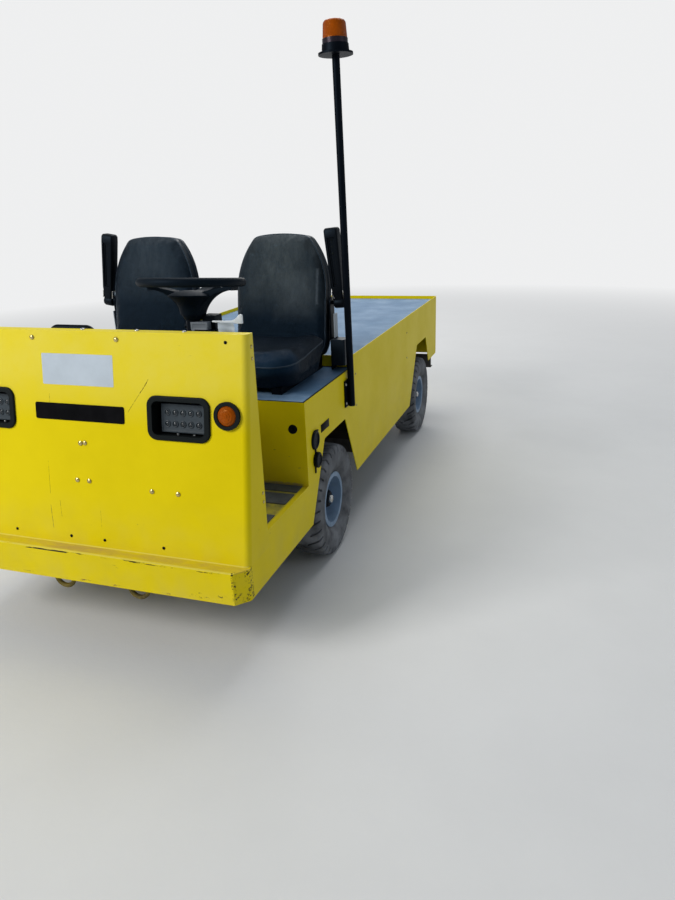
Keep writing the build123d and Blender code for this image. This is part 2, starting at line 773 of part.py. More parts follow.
# Front axle: a tube with a yoke at each end for the kingpins
yoke_gap = 35
yoke_ear = 18
ear_radius = 26
kingpin_radius = 10
axle_end = kingpin_x - ear_radius - 6
front_spring = leaf_spring(front_axle_y)
with BuildPart() as front_axle:
    with BuildSketch(side(-axle_end)):
        with Locations((front_axle_y, tyre_radius)):
            Circle(axle_tube)
    extrude(amount=2 * axle_end)
    with BuildSketch(side(axle_end - 10)):
        with Locations((front_axle_y, tyre_radius)):
            Rectangle(2 * ear_radius, 2 * (yoke_gap + yoke_ear))
    extrude(amount=14)
    for ear_z in (tyre_radius + yoke_gap, tyre_radius - yoke_gap - yoke_ear):
        with BuildSketch(level(ear_z)):
            with Locations((kingpin_x, front_axle_y)):
                Circle(ear_radius)
            with Locations(((kingpin_x + axle_end) / 2, front_axle_y)):
                Rectangle(kingpin_x - axle_end, 2 * ear_radius)
            with Locations((kingpin_x, front_axle_y)):
                Circle(kingpin_radius + pin_clearance, mode=Mode.SUBTRACT)
        extrude(amount=yoke_ear)
    add(front_spring)
    mirror(about=side(0))
keep(front_axle, "front_axle")

# Rear axle: a tube with a gear housing, brake plates and fixed spindles
housing_radius = 92
housing_half = 70
plate_x = wheel_plane_x - 61
plate_thickness = 8
housing_chamfer = 22
brake_radius = 85
spindle_radius = 18
spindle_end = wheel_plane_x + 24
rear_spring = leaf_spring(rear_axle_y)
with BuildPart() as rear_axle:
    with BuildSketch(side(-plate_x)):
        with Locations((rear_axle_y, tyre_radius)):
            Circle(rear_tube)
    extrude(amount=2 * plate_x)
    with BuildSketch(side(-housing_half)):
        with Locations((rear_axle_y, tyre_radius)):
            Circle(housing_radius)
    extrude(amount=2 * housing_half)
    chamfer(rear_axle.edges().filter_by(GeomType.CIRCLE).filter_by(lambda e: abs(e.radius - housing_radius) < 1),
            housing_chamfer)
    for sign in (1, -1):
        with BuildSketch(side(sign * plate_x)):
            with Locations((rear_axle_y, tyre_radius)):
                Circle(brake_radius)
        extrude(amount=sign * plate_thickness)
        with BuildSketch(side(sign * plate_x)):
            with Locations((rear_axle_y, tyre_radius)):
                Circle(spindle_radius)
        extrude(amount=sign * (spindle_end - plate_x))
    add(rear_spring)
    mirror(about=side(0))
keep(rear_axle, "rear_axle")

# Drive motor: a drum on the front of the gear housing
motor_radius = 88
motor_front_y = rear_axle_y - 389
motor_rear_y = rear_axle_y - housing_radius
motor_chamfer = 12
with BuildPart() as drive_motor:
    with BuildSketch(front(motor_front_y)):
        with Locations((0, tyre_radius)):
            Circle(motor_radius)
    extrude(amount=-(motor_rear_y - motor_front_y))
    chamfer(drive_motor.edges().filter_by(GeomType.CIRCLE).sort_by(Axis.Y)[0], motor_chamfer)
keep(drive_motor, "drive_motor")

# Knuckles: a barrel on the kingpin, a spindle, a tie-rod arm and, on the left, a drag-link arm
lower_arm_z = tyre_radius - 69
arm_plate = 10
tie_arm_reach = 115
upper_arm_z = tyre_radius + 66
drag_arm = 130
stud_radius = 7
for side_name, sign in sides:
    with BuildPart() as knuckle:
        with BuildSketch(level(tyre_radius - yoke_gap + pin_clearance)):
            with Locations((sign * kingpin_x, front_axle_y)):
                Circle(22)
        extrude(amount=2 * (yoke_gap - pin_clearance))
        with BuildSketch(side(sign * kingpin_x)):
            with Locations((front_axle_y, tyre_radius)):
                Circle(spindle_radius)
        extrude(amount=sign * (spindle_end - kingpin_x))
        pin_top = upper_arm_z + arm_plate
        with BuildSketch(level(lower_arm_z)):
            with Locations((sign * kingpin_x, front_axle_y)):
                Circle(kingpin_radius)
        extrude(amount=pin_top - lower_arm_z)
        tie_end = (sign * kingpin_x, front_axle_y + tie_arm_reach)
        with BuildSketch(level(lower_arm_z)):
            with Locations((sign * kingpin_x, front_axle_y)):
                Circle(20)
            with Locations(tie_end):
                Circle(14)
            with BuildLine():
                Polyline(
                    (sign * (kingpin_x - 16), front_axle_y),
                    (sign * (kingpin_x + 16), front_axle_y),
                    (tie_end[0] + sign * 12, tie_end[1]),
                    (tie_end[0] - sign * 12, tie_end[1]),
                    close=True,
                )
            make_face()
            with Locations(tie_end):
                Circle(stud_radius + pin_clearance, mode=Mode.SUBTRACT)
        extrude(amount=arm_plate)
        with BuildSketch(level(upper_arm_z)):
            with Locations((sign * kingpin_x, front_axle_y)):
                Circle(20)
            if side_name == "left":
                with Locations((kingpin_x - drag_arm / 2, front_axle_y)):
                    Rectangle(drag_arm, 26)
                with Locations((kingpin_x - drag_arm, front_axle_y)):
                    Circle(14)
                with Locations((kingpin_x - drag_arm, front_axle_y)):
                    Circle(stud_radius + pin_clearance, mode=Mode.SUBTRACT)
        extrude(amount=arm_plate)
    keep(knuckle, f"knuckle_{side_name}")

# Tie rod: a straight rod between the lower arms, with a stud down through each
tie_rod_radius = 9
tie_rod_z = lower_arm_z + arm_plate + tie_rod_radius + 3
tie_half = kingpin_x
tie_y = front_axle_y + tie_arm_reach
with BuildPart() as tie_rod:
    with BuildSketch(side(-tie_half)):
        with Locations((tie_y, tie_rod_z)):
            Circle(tie_rod_radius)
    extrude(amount=2 * tie_half)
    for end_x in (tie_half, -tie_half):
        with BuildSketch(level(lower_arm_z + arm_plate + 0.5)):
            with Locations((end_x, tie_y)):
                Circle(12)
        extrude(amount=2 * tie_rod_radius + 4)
        with BuildSketch(level(lower_arm_z)):
            with Locations((end_x, tie_y)):
                Circle(stud_radius)
        extrude(amount=arm_plate + 4)
keep(tie_rod, "tie_rod")

# Pitman arm on the gear's sector shaft, and the drag link back to the left knuckle
with BuildPart() as pitman_arm:
    with BuildSketch(level(upper_arm_z)):
        with Locations((kingpin_x, pitman_y)):
            Circle(22)
        with Locations((kingpin_x - drag_arm / 2, pitman_y)):
            Rectangle(drag_arm, 26)
        with Locations((kingpin_x - drag_arm, pitman_y)):
            Circle(14)
        with Locations((kingpin_x - drag_arm, pitman_y)):
            Circle(stud_radius + pin_clearance, mode=Mode.SUBTRACT)
    extrude(amount=arm_plate)
    with BuildSketch(level(upper_arm_z)):
        with Locations((kingpin_x, pitman_y)):
            Circle(14)
    extrude(amount=gear_bottom + 40 - upper_arm_z)
keep(pitman_arm, "pitman_arm")

drag_rod = 8
drag_x = kingpin_x - drag_arm
drag_z = upper_arm_z + arm_plate + drag_rod + 2
with BuildPart() as drag_link:
    with BuildSketch(front(pitman_y)):
        with Locations((drag_x, drag_z)):
            Circle(drag_rod)
    extrude(amount=-(front_axle_y - pitman_y))
    for end_y in (pitman_y, front_axle_y):
        with BuildSketch(level(upper_arm_z + arm_plate + 0.5)):
            with Locations((drag_x, end_y)):
                Circle(11)
        extrude(amount=2 * drag_rod + 3)
        with BuildSketch(level(upper_arm_z)):
            with Locations((drag_x, end_y)):
                Circle(stud_radius)
        extrude(amount=arm_plate + 3)
keep(drag_link, "drag_link")

# Wheels: pressed steel rims with a deep dish and a hub, under block-tread tyres
bead_half = 48
barrel_outer = 101.5
barrel_inner = 97
flange_radius = 116
flange_thickness = 5
disc_span = (-16, -9)
hub_radius = 34
hub_span = (-30, 26)
cap_radius = 24
cap_end = 37
bead_heel = 117
crown_half = tyre_width / 2 - 12
shoulder_radius = tyre_radius - 9
sidewall = (tyre_radius - 95, tyre_radius - 59, tyre_radius - 23)  # heel, widest and upper radii
wheel_spots = (  # name, side, station
    ("front_left", 1, front_axle_y),
    ("front_right", -1, front_axle_y),
    ("rear_left", 1, rear_axle_y),
    ("rear_right", -1, rear_axle_y),
)
for wheel_name, sign, axle_y in wheel_spots:
    wheel_plane = Plane(
        origin=(center_x + sign * wheel_plane_x, front_y + axle_y, tyre_radius),
        x_dir=(sign, 0, 0),
        z_dir=(0, -sign, 0),
    )
    spin_axis = Axis(wheel_plane.origin, (1, 0, 0))
    with BuildPart() as rim:
        with BuildSketch(wheel_plane):
            with BuildLine():
                Polyline(
                    (-bead_half - flange_thickness, barrel_inner),
                    (-bead_half - flange_thickness, flange_radius),
                    (-bead_half, flange_radius),
                    (-bead_half, barrel_outer),
                    (bead_half, barrel_outer),
                    (bead_half, flange_radius),
                    (bead_half + flange_thickness, flange_radius),
                    (bead_half + flange_thickness, barrel_inner),
                    (disc_span[1], barrel_inner),
                    (disc_span[1], hub_radius),
                    (hub_span[1], hub_radius),
                    (hub_span[1], cap_radius),
                    (cap_end, cap_radius - 5),
                    (cap_end, 0),
                    (hub_span[1], 0),
                    (hub_span[1], spindle_radius + pin_clearance),
                    (hub_span[0], spindle_radius + pin_clearance),
                    (hub_span[0], hub_radius),
                    (disc_span[0], hub_radius),
                    (disc_span[0], barrel_inner),
                    close=True,
                )
            make_face()
        revolve(axis=spin_axis)
    keep(rim, f"rim_{wheel_name}")
    with BuildPart() as tyre:
        with BuildSketch(wheel_plane):
            with BuildLine():
                half = tyre_width / 2
                Polyline(
                    (-half + 6, sidewall[0]),
                    (-bead_half, bead_heel),
                    (-bead_half, barrel_outer),
                    (bead_half, barrel_outer),
                    (bead_half, bead_heel),
                    (half - 6, sidewall[0]),
                )
                ThreePointArc((half - 6, sidewall[0]), (half, sidewall[1]), (half - 4, sidewall[2]))
                Line((half - 4, sidewall[2]), (crown_half, shoulder_radius))
                ThreePointArc((crown_half, shoulder_radius), (0, tyre_radius), (-crown_half, shoulder_radius))
                Line((-crown_half, shoulder_radius), (-half + 4, sidewall[2]))
                ThreePointArc((-half + 4, sidewall[2]), (-half, sidewall[1]), (-half + 6, sidewall[0]))
            make_face()
        revolve(axis=spin_axis)
    keep(tyre, f"tyre_{wheel_name}")

# Seats: a cushion that flares up from its pan and a back, leaned back on upright bars
cushion_bottom = seat_deck_top + 25
cushion_front_top = seat_deck_top + 112
cushion_rear_top = seat_deck_top + 152
cushion_flare = 12
cushion_roll = 10
pan_half = seat_half_width - 6
pan_setback = 75
pan_length = 352
pan_front_y = seat_box_y + pan_setback
pan_rear_y = pan_front_y + pan_length
pan_corners = (96, 36)  # front and rear corner radii
cushion_slope = degrees(atan2(cushion_rear_top - cushion_front_top, pan_rear_y - pan_front_y))
cushion_lid = Plane(
    origin=(center_x, front_y + pan_front_y, cushion_front_top),
    x_dir=(1, 0, 0),
    z_dir=(0, -sin(radians(cushion_slope)), cos(radians(cushion_slope))),
)
back_foot_y = riser_y - 70
back_foot_z = seat_deck_top + 59
back_height = 508
back_lean = 10
back_thickness = 88
back_foot_half = seat_half_width - 14
back_flank = (60, 240)  # heights where the sides are straight
back_shoulder = (124, 490)
back_round = 26
for side_name, sign in sides:
    with BuildPart() as cushion:
        with BuildSketch(level(cushion_bottom)) as pan:
            with Locations((sign * seat_x, (pan_front_y + pan_rear_y) / 2)):
                Rectangle(2 * pan_half, pan_rear_y - pan_front_y)
            fillet(pan.vertices().group_by(Axis.Y)[0], pan_corners[0])
            fillet(pan.vertices().group_by(Axis.Y)[-1], pan_corners[1])
        extrude(amount=cushion_rear_top + cushion_roll - cushion_bottom, taper=-cushion_flare)
        split(bisect_by=cushion_lid, keep=Keep.BOTTOM)
        fillet(cushion.faces().sort_by(Axis(cushion_lid.origin, cushion_lid.z_dir))[-1].edges(), cushion_roll)
    keep(cushion, f"seat_cushion_{side_name}")
    back_plane = leaned(sign * seat_x, back_foot_y, back_foot_z, back_lean)
    with BuildPart() as backrest:
        with BuildSketch(back_plane):
            with BuildLine():
                Polyline(
                    (seat_half_width, back_flank[1]),
                    (seat_half_width, back_flank[0]),
                    (back_foot_half, 0),
                    (-back_foot_half, 0),
                    (-seat_half_width, back_flank[0]),
                    (-seat_half_width, back_flank[1]),
                )
                for flank in (1, -1):
                    start = (flank * seat_half_width, back_flank[1])
                    TangentArc(start, (flank * back_shoulder[0], back_shoulder[1]), tangent=(0, 1))
                ThreePointArc(back_shoulder, (0, back_height), (-back_shoulder[0], back_shoulder[1]))
            make_face()
        extrude(amount=back_thickness / 2, both=True)
        fillet(backrest.faces().sort_by(Axis(back_plane.origin, back_plane.z_dir))[-1].edges(), back_round)
    keep(backrest, f"seat_back_{side_name}")

# Seat frames: base rails, bars up behind each back, and a side bar that carries the armrest
bar_width = 40
base_rail_length = 330
base_offset = 140
base_y = (pan_front_y + pan_rear_y) / 2 + 4
bar_thickness = 8
bar_reach = (-49, 195)  # lower and upper ends along the back
foot_plate_y = back_foot_y - 25
foot_plate_length = 150
side_bar_head = 24
side_bar_x = seat_x + seat_half_width
with BuildPart() as seat_frames:
    deck_level = seat_deck_top - deck_drop
    for sign in (1, -1):
        bar_spots = (sign * seat_x - base_offset, sign * seat_x + base_offset)
        with BuildSketch(level(deck_level)):
            with Locations(*((x, base_y) for x in bar_spots)):
                Rectangle(bar_width, base_rail_length)
        extrude(amount=cushion_bottom - deck_level)
        back_plane = leaned(sign * seat_x, back_foot_y, back_foot_z, back_lean)
        with BuildSketch(back_plane.offset(-back_thickness / 2)):
            with Locations(*((off, (bar_reach[0] + bar_reach[1]) / 2) for off in (-base_offset, base_offset))):
                Rectangle(bar_width, bar_reach[1] - bar_reach[0])
        extrude(amount=-bar_thickness)
        with BuildSketch(level(deck_level)):
            with Locations(*((x, foot_plate_y) for x in bar_spots)):
                Rectangle(bar_width, foot_plate_length)
        extrude(amount=bar_thickness)
        side_bar_top = arm_pivot_z + side_bar_head
        with BuildSketch(side(sign * side_bar_x)):
            with Locations((arm_pivot_y, (deck_level + side_bar_top) / 2)):
                SlotOverall(side_bar_top - deck_level, side_bar_width, rotation=90)
            with Locations((arm_pivot_y, deck_level + side_bar_width / 2)):
                Rectangle(side_bar_width, side_bar_width)
        extrude(amount=sign * side_bar)
        with BuildSketch(side(sign * side_bar_x)):
            with Locations((arm_pivot_y, arm_pivot_z)):
                Circle(arm_pin_radius)
        extrude(amount=sign * (side_bar + arm_gap + arm_width))
keep(seat_frames, "seat_frames")

# Seat belts: a retractor box outboard of each seat and its strap drawn up to the side bar
retractor_corner = 8
retractor_z = seat_deck_top + 21
strap_width = 40
strap_thickness = 3
strap_drop = 44
strap_top_z = arm_pivot_z - strap_drop
strap_inset = 12
with BuildPart() as seat_belts:
    for sign in (1, -1):
        bar_face_x = side_bar_x + side_bar
        with BuildSketch(level(retractor_z)):
            with Locations((sign * (bar_face_x + retractor[0] / 2), arm_pivot_y - 10)):
                RectangleRounded(retractor[0], retractor[1], retractor_corner)
        extrude(amount=retractor[2])
        with BuildSketch(level(retractor_z + retractor[2])):
            with Locations((sign * (bar_face_x + strap_inset), arm_pivot_y)):
                Rectangle(strap_thickness, strap_width)
        extrude(amount=strap_top_z - retractor_z - retractor[2])
keep(seat_belts, "seat_belts")

# Armrests: moulded arms, folded up and leaned inboard, on a pin through the side bar
arm_length = 296
arm_boss = 28
arm_end_half = 28
arm_end_round = 20
pocket = (30, 36)
pocket_pitch = 42
pocket_count = 5
pocket_start = 66
pocket_depth = 14
for side_name, sign in sides:
    arm_face_x = sign * (side_bar_x + side_bar + arm_gap)
    arm_plane = Plane(
        origin=(center_x + arm_face_x, front_y + arm_pivot_y, arm_pivot_z),
        x_dir=(0, 1, 0),
        z_dir=(cos(radians(arm_lean)), 0, sign * sin(radians(arm_lean))),
    )
    with BuildPart() as armrest:
        with BuildSketch(arm_plane):
            Circle(arm_boss)
            with BuildLine():
                Polyline(
                    (-arm_boss, 0),
                    (arm_boss, 0),
                    (arm_end_half, arm_length),
                    (-arm_end_half, arm_length),
                    close=True,
                )
            make_face()
        extrude(amount=sign * arm_width)
        arm_up = Axis(arm_plane.origin, arm_plane.y_dir)
        arm_across = Axis(arm_plane.origin, arm_plane.z_dir)
        fillet(armrest.faces().sort_by(arm_up)[-1].edges().filter_by(arm_across), arm_end_round)
        pocket_face = Plane(
            origin=arm_plane.origin + arm_plane.z_dir * (sign * arm_width / 2) - arm_plane.x_dir * arm_boss,
            x_dir=arm_plane.z_dir,
            z_dir=-arm_plane.x_dir,
        )
        with BuildSketch(pocket_face):
            with Locations((0, pocket_start + pocket_pitch * (pocket_count - 1) / 2)):
                with GridLocations(pocket_pitch, pocket_pitch, 1, pocket_count):
                    RectangleRounded(*pocket, 5)
        extrude(amount=-pocket_depth, mode=Mode.SUBTRACT)
        with BuildSketch(side(sign * side_bar_x)):
            with Locations((arm_pivot_y, arm_pivot_z)):
                Circle(arm_pin_radius + pin_clearance)
        extrude(amount=sign * 2 * arm_width, mode=Mode.SUBTRACT)
    keep(armrest, f"armrest_{side_name}")

# Beacon mast: a tube on a side plate, leaned slightly inboard, with the lamp's base on top
lean_vector = (-sin(radians(mast_lean)), 0, cos(radians(mast_lean)))
mast_plane = Plane(
    origin=(center_x + mast_stand_off, front_y + mast_y, mast_bottom),
    x_dir=(cos(radians(mast_lean)), 0, sin(radians(mast_lean))),
    z_dir=lean_vector,
)
plate_front_y = mast_y - 40
plate_rear_y = mast_y + 16
plate_height = 112
flange_height = 7
base_radius = 50
base_height = 27
lens_radius = 46
lens_height = 77
beacon_taper = 4
lens_round = 8
with BuildPart() as beacon_mast:
    with BuildSketch(side(half_width)):
        with Locations(((plate_front_y + plate_rear_y) / 2, mast_bottom + plate_height / 2)):
            Rectangle(plate_rear_y - plate_front_y, plate_height)
    extrude(amount=mast_plate)
    with BuildSketch(mast_plane):
        Circle(mast_radius)
    extrude(amount=mast_length)
    with BuildSketch(mast_plane.offset(mast_length)):
        Circle(beacon_radius)
    extrude(amount=flange_height)
    with BuildSketch(mast_plane.offset(mast_length + flange_height)):
        Circle(base_radius)
    extrude(amount=base_height, taper=beacon_taper)
keep(beacon_mast, "beacon_mast")

with BuildPart() as beacon_lens:
    with BuildSketch(mast_plane.offset(mast_length + flange_height + base_height)):
        Circle(lens_radius)
    extrude(amount=lens_height, taper=beacon_taper)
    fillet(beacon_lens.faces().sort_by(Axis.Z)[-1].edges(), lens_round)
keep(beacon_lens, "beacon_lens")
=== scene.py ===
"""Looks of a two-seat electric utility vehicle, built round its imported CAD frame.

Sizes here are vehicle millimetres, as in the part's source: widths from the centre plane with the driver's
side as plus, lengths from the bumper's face going back, and heights from the ground.
"""

import json
import logging
import math
from contextlib import contextmanager
from dataclasses import dataclass, field
from enum import Enum
from typing import Callable, Iterable, Iterator, Mapping, Sequence

import bmesh
import bpy
from bpy.types import Material, Node, NodeSocket, NodeTree, Object
from mathutils import Matrix, Vector

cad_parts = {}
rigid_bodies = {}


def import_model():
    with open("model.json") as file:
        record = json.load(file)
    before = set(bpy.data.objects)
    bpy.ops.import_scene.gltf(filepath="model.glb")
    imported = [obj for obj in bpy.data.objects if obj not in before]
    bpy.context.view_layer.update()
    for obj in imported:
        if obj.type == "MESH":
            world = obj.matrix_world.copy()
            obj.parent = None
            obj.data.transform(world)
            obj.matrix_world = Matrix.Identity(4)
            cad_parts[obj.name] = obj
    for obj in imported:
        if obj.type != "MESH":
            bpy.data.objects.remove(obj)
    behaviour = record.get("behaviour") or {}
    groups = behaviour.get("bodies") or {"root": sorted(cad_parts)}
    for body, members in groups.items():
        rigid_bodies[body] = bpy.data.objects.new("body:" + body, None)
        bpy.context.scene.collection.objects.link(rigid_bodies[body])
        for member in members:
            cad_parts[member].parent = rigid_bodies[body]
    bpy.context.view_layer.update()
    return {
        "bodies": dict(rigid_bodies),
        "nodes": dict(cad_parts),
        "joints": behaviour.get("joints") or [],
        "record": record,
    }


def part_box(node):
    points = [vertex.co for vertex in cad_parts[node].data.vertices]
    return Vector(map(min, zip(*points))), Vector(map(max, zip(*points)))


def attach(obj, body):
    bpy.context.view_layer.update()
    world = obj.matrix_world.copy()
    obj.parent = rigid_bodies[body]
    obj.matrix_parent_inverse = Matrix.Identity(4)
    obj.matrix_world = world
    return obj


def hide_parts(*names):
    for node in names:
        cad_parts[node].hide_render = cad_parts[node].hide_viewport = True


MM = 0.001
FULL_TURN = 2 * math.pi
LOG = logging.getLogger("utility_vehicle")

Colour = tuple[float, float, float]
Pair = tuple[float, float]
Point = tuple[float, float, float]
Profile = tuple[Pair, ...]
FaceTest = Callable[[Vector, Vector], bool]


class Grain(Enum):
    """How a finish is rough close up."""

    PEEL = "peel"
    LEATHER = "leather"
    GRIT = "grit"
    MOULDED = "moulded"
    BRUSHED = "brushed"


class Side(Enum):
    """A side of the vehicle, with the sign of its width."""

    LEFT = 1
    RIGHT = -1

    @property
    def word(self) -> str:
        """The side's name in lower case."""
        return self.name.lower()


@dataclass(frozen=True)
class VehicleFrame:
    """Turns vehicle millimetres into the model's metres."""

    center_x: float
    front_y: float

    @classmethod
    def from_bumper(cls) -> "VehicleFrame":
        """Read the vehicle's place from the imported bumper, which is centred and ends at station zero."""
        low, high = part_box("front_bumper")
        return cls((low.x + high.x) / 2, low.y)

    def point(self, x: float, y: float, z: float) -> Vector:
        """Place a point.

        Args:
            x: Width from the centre plane in millimetres.
            y: Station behind the bumper's face in millimetres.
            z: Height above the ground in millimetres.

        Returns:
            The point in the model's metres.
        """
        return Vector((self.center_x + x * MM, self.front_y + y * MM, z * MM))

    def place(self, x: float, y: float, z: float, across: Point, up: Point) -> Matrix:
        """Make the matrix of a local frame that stands on a point.

        Args:
            x: Width from the centre plane in millimetres.
            y: Station behind the bumper's face in millimetres.
            z: Height above the ground in millimetres.
            across: Direction of the local x axis.
            up: Direction of the local y axis.

        Returns:
            The matrix, whose local z axis is across times up.
        """
        first = Vector(across).normalized()
        second = Vector(up).normalized()
        turned = Matrix((first, second, first.cross(second))).transposed().to_4x4()
        return Matrix.Translation(self.point(x, y, z)) @ turned


def shift(x: float, y: float, z: float) -> Matrix:
    """The matrix of a move in millimetres."""
    return Matrix.Translation((x * MM, y * MM, z * MM))


@dataclass(frozen=True)
class Layouts:
    """The local frames that pieces are laid out in."""

    site: VehicleFrame
    cowl_lean: float = math.atan2(110, 693)
    cowl_foot: Pair = (46, 365)
    cowl_top: float = 1058
    helm_center: Point = (309, 365, 1181)
    mast_foot: Point = (610, 1054, 595)
    flank_x: float = 590
    hub: Pair = (519, 235)
    column_lean: float = math.radians(6)
    mast_lean: float = math.radians(0.9)

    def cowl(self) -> Matrix:
        """The cowl's face: local x to the driver's side, y up the face and z out of it."""
        up = (0, math.sin(self.cowl_lean), math.cos(self.cowl_lean))
        return self.site.place(0, *self.cowl_foot, (1, 0, 0), up)

    def up_the_cowl(self, height: float) -> float:
        """Distance up the cowl's face from its foot to a height, in millimetres."""
        return (height - self.cowl_foot[1]) / math.cos(self.cowl_lean)

    def helm(self) -> Matrix:
        """The steering wheel: local z up its axis and y towards the driver."""
        lean = self.column_lean
        return self.site.place(*self.helm_center, (1, 0, 0), (0, math.cos(lean), -math.sin(lean)))

    def mast(self) -> Matrix:
        """The beacon mast: local z up the tube from its foot."""
        lean = self.mast_lean
        return self.site.place(*self.mast_foot, (math.cos(lean), 0, math.sin(lean)), (0, 1, 0))

    def flank(self, side: Side) -> Matrix:
        """A side panel's face at station zero on the ground: local z out of it and y up."""
        return self.site.place(self.flank_x * side.value, 0, 0, (0, side.value, 0), (0, 0, 1))

    def floor(self, x: float, y: float, z: float) -> Matrix:
        """A level place, with local z up."""
        return self.site.place(x, y, z, (1, 0, 0), (0, 1, 0))

    def wheel(self, side: Side, station: float) -> Matrix:
        """A wheel's centre: local z out of the vehicle along the axle."""
        x, z = self.hub
        return self.site.place(x * side.value, station, z, (0, 0, 1), (0, -side.value, 0))


class Graph:
    """Builds a node tree in a few plain calls."""

    def __init__(self, tree: NodeTree) -> None:
        """Take over a node tree.

        Args:
            tree: The tree that nodes are added to.
        """
        self.tree = tree

    def node(self, kind: str, settings: dict[str, object] | None = None, **inputs: object) -> Node:
        """Add a node.

        Args:
            kind: The node's type name without its ShaderNode prefix.
            settings: Properties of the node itself.
            **inputs: Values or sockets by input name, with underscores for spaces, or i0, i1 and so on.

        Returns:
            The new node.
        """
        prefix = "" if kind.startswith("Node") else "ShaderNode"
        made = self.tree.nodes.new(prefix + kind)
        for key, value in (settings or {}).items():
            setattr(made, key, value)
        for key, value in inputs.items():
            numbered = key[0] == "i" and key[1:].isdigit()
            socket = made.inputs[int(key[1:])] if numbered else made.inputs[key.replace("_", " ")]
            if isinstance(value, NodeSocket):
                self.tree.links.new(value, socket)
            else:
                socket.default_value = value
        return made

    def math(self, operation: str, first: object, second: object = 0.0, clamp: bool = False) -> NodeSocket:
        """Add a Math node and give its output.

        Args:
            operation: The operation's name.
            first: First value or socket.
            second: Second value or socket.
            clamp: Whether the result is kept between 0 and 1.

        Returns:
            The node's output socket.
        """
        return self.node("Math", {"operation": operation, "use_clamp": clamp}, i0=first, i1=second).outputs[0]

    def vector(self, operation: str, *inputs: object, **named: object) -> Node:
        """Add a Vector Math node.

        Args:
            operation: The operation's name.
            *inputs: Its vectors or sockets, in order.
            **named: Values or sockets by input name.

        Returns:
            The new node.
        """
        numbered = {f"i{index}": value for index, value in enumerate(inputs)}
        return self.node("VectorMath", {"operation": operation}, **numbered, **named)

    def ramp(self, value: object, low: float, high: float) -> NodeSocket:
        """Map a value so that low gives 0 and high gives 1, clamped.

        Args:
            value: The socket to map.
            low: The value that gives 0.
            high: The value that gives 1.

        Returns:
            The mapped socket.
        """
        return self.node("MapRange", {"clamp": True}, i0=value, i1=low, i2=high, i3=0.0, i4=1.0).outputs[0]

    def blend(self, factor: object, first: object, second: object) -> NodeSocket:
        """Mix two colours.

        Args:
            factor: Share of the second colour.
            first: First colour, a socket or three numbers.
            second: Second colour, a socket or three numbers.

        Returns:
            The mixed colour's socket.
        """
        ends = [end if isinstance(end, NodeSocket) else (*end, 1.0) for end in (first, second)]
        settings = {"data_type": "RGBA", "clamp_factor": True}
        return self.node("Mix", settings, i0=factor, i6=ends[0], i7=ends[1]).outputs[2]

    def group(self, tree: NodeTree, **inputs: object) -> NodeSocket:
        """Add a shared group.

        Args:
            tree: The group.
            **inputs: Values or sockets by input name.

        Returns:
            The group's output socket.
        """
        return self.node("Group", {"node_tree": tree}, **inputs).outputs[0]


def new_material(name: str) -> tuple[Material, Graph, NodeSocket]:
    """Start a material.

    Args:
        name: Its name.

    Returns:
        The material, its graph and the socket of its object coordinates.
    """
    made = bpy.data.materials.new(name)
    made.use_nodes = True
    made.node_tree.nodes.clear()
    graph = Graph(made.node_tree)
    return made, graph, graph.node("TexCoord").outputs["Object"]


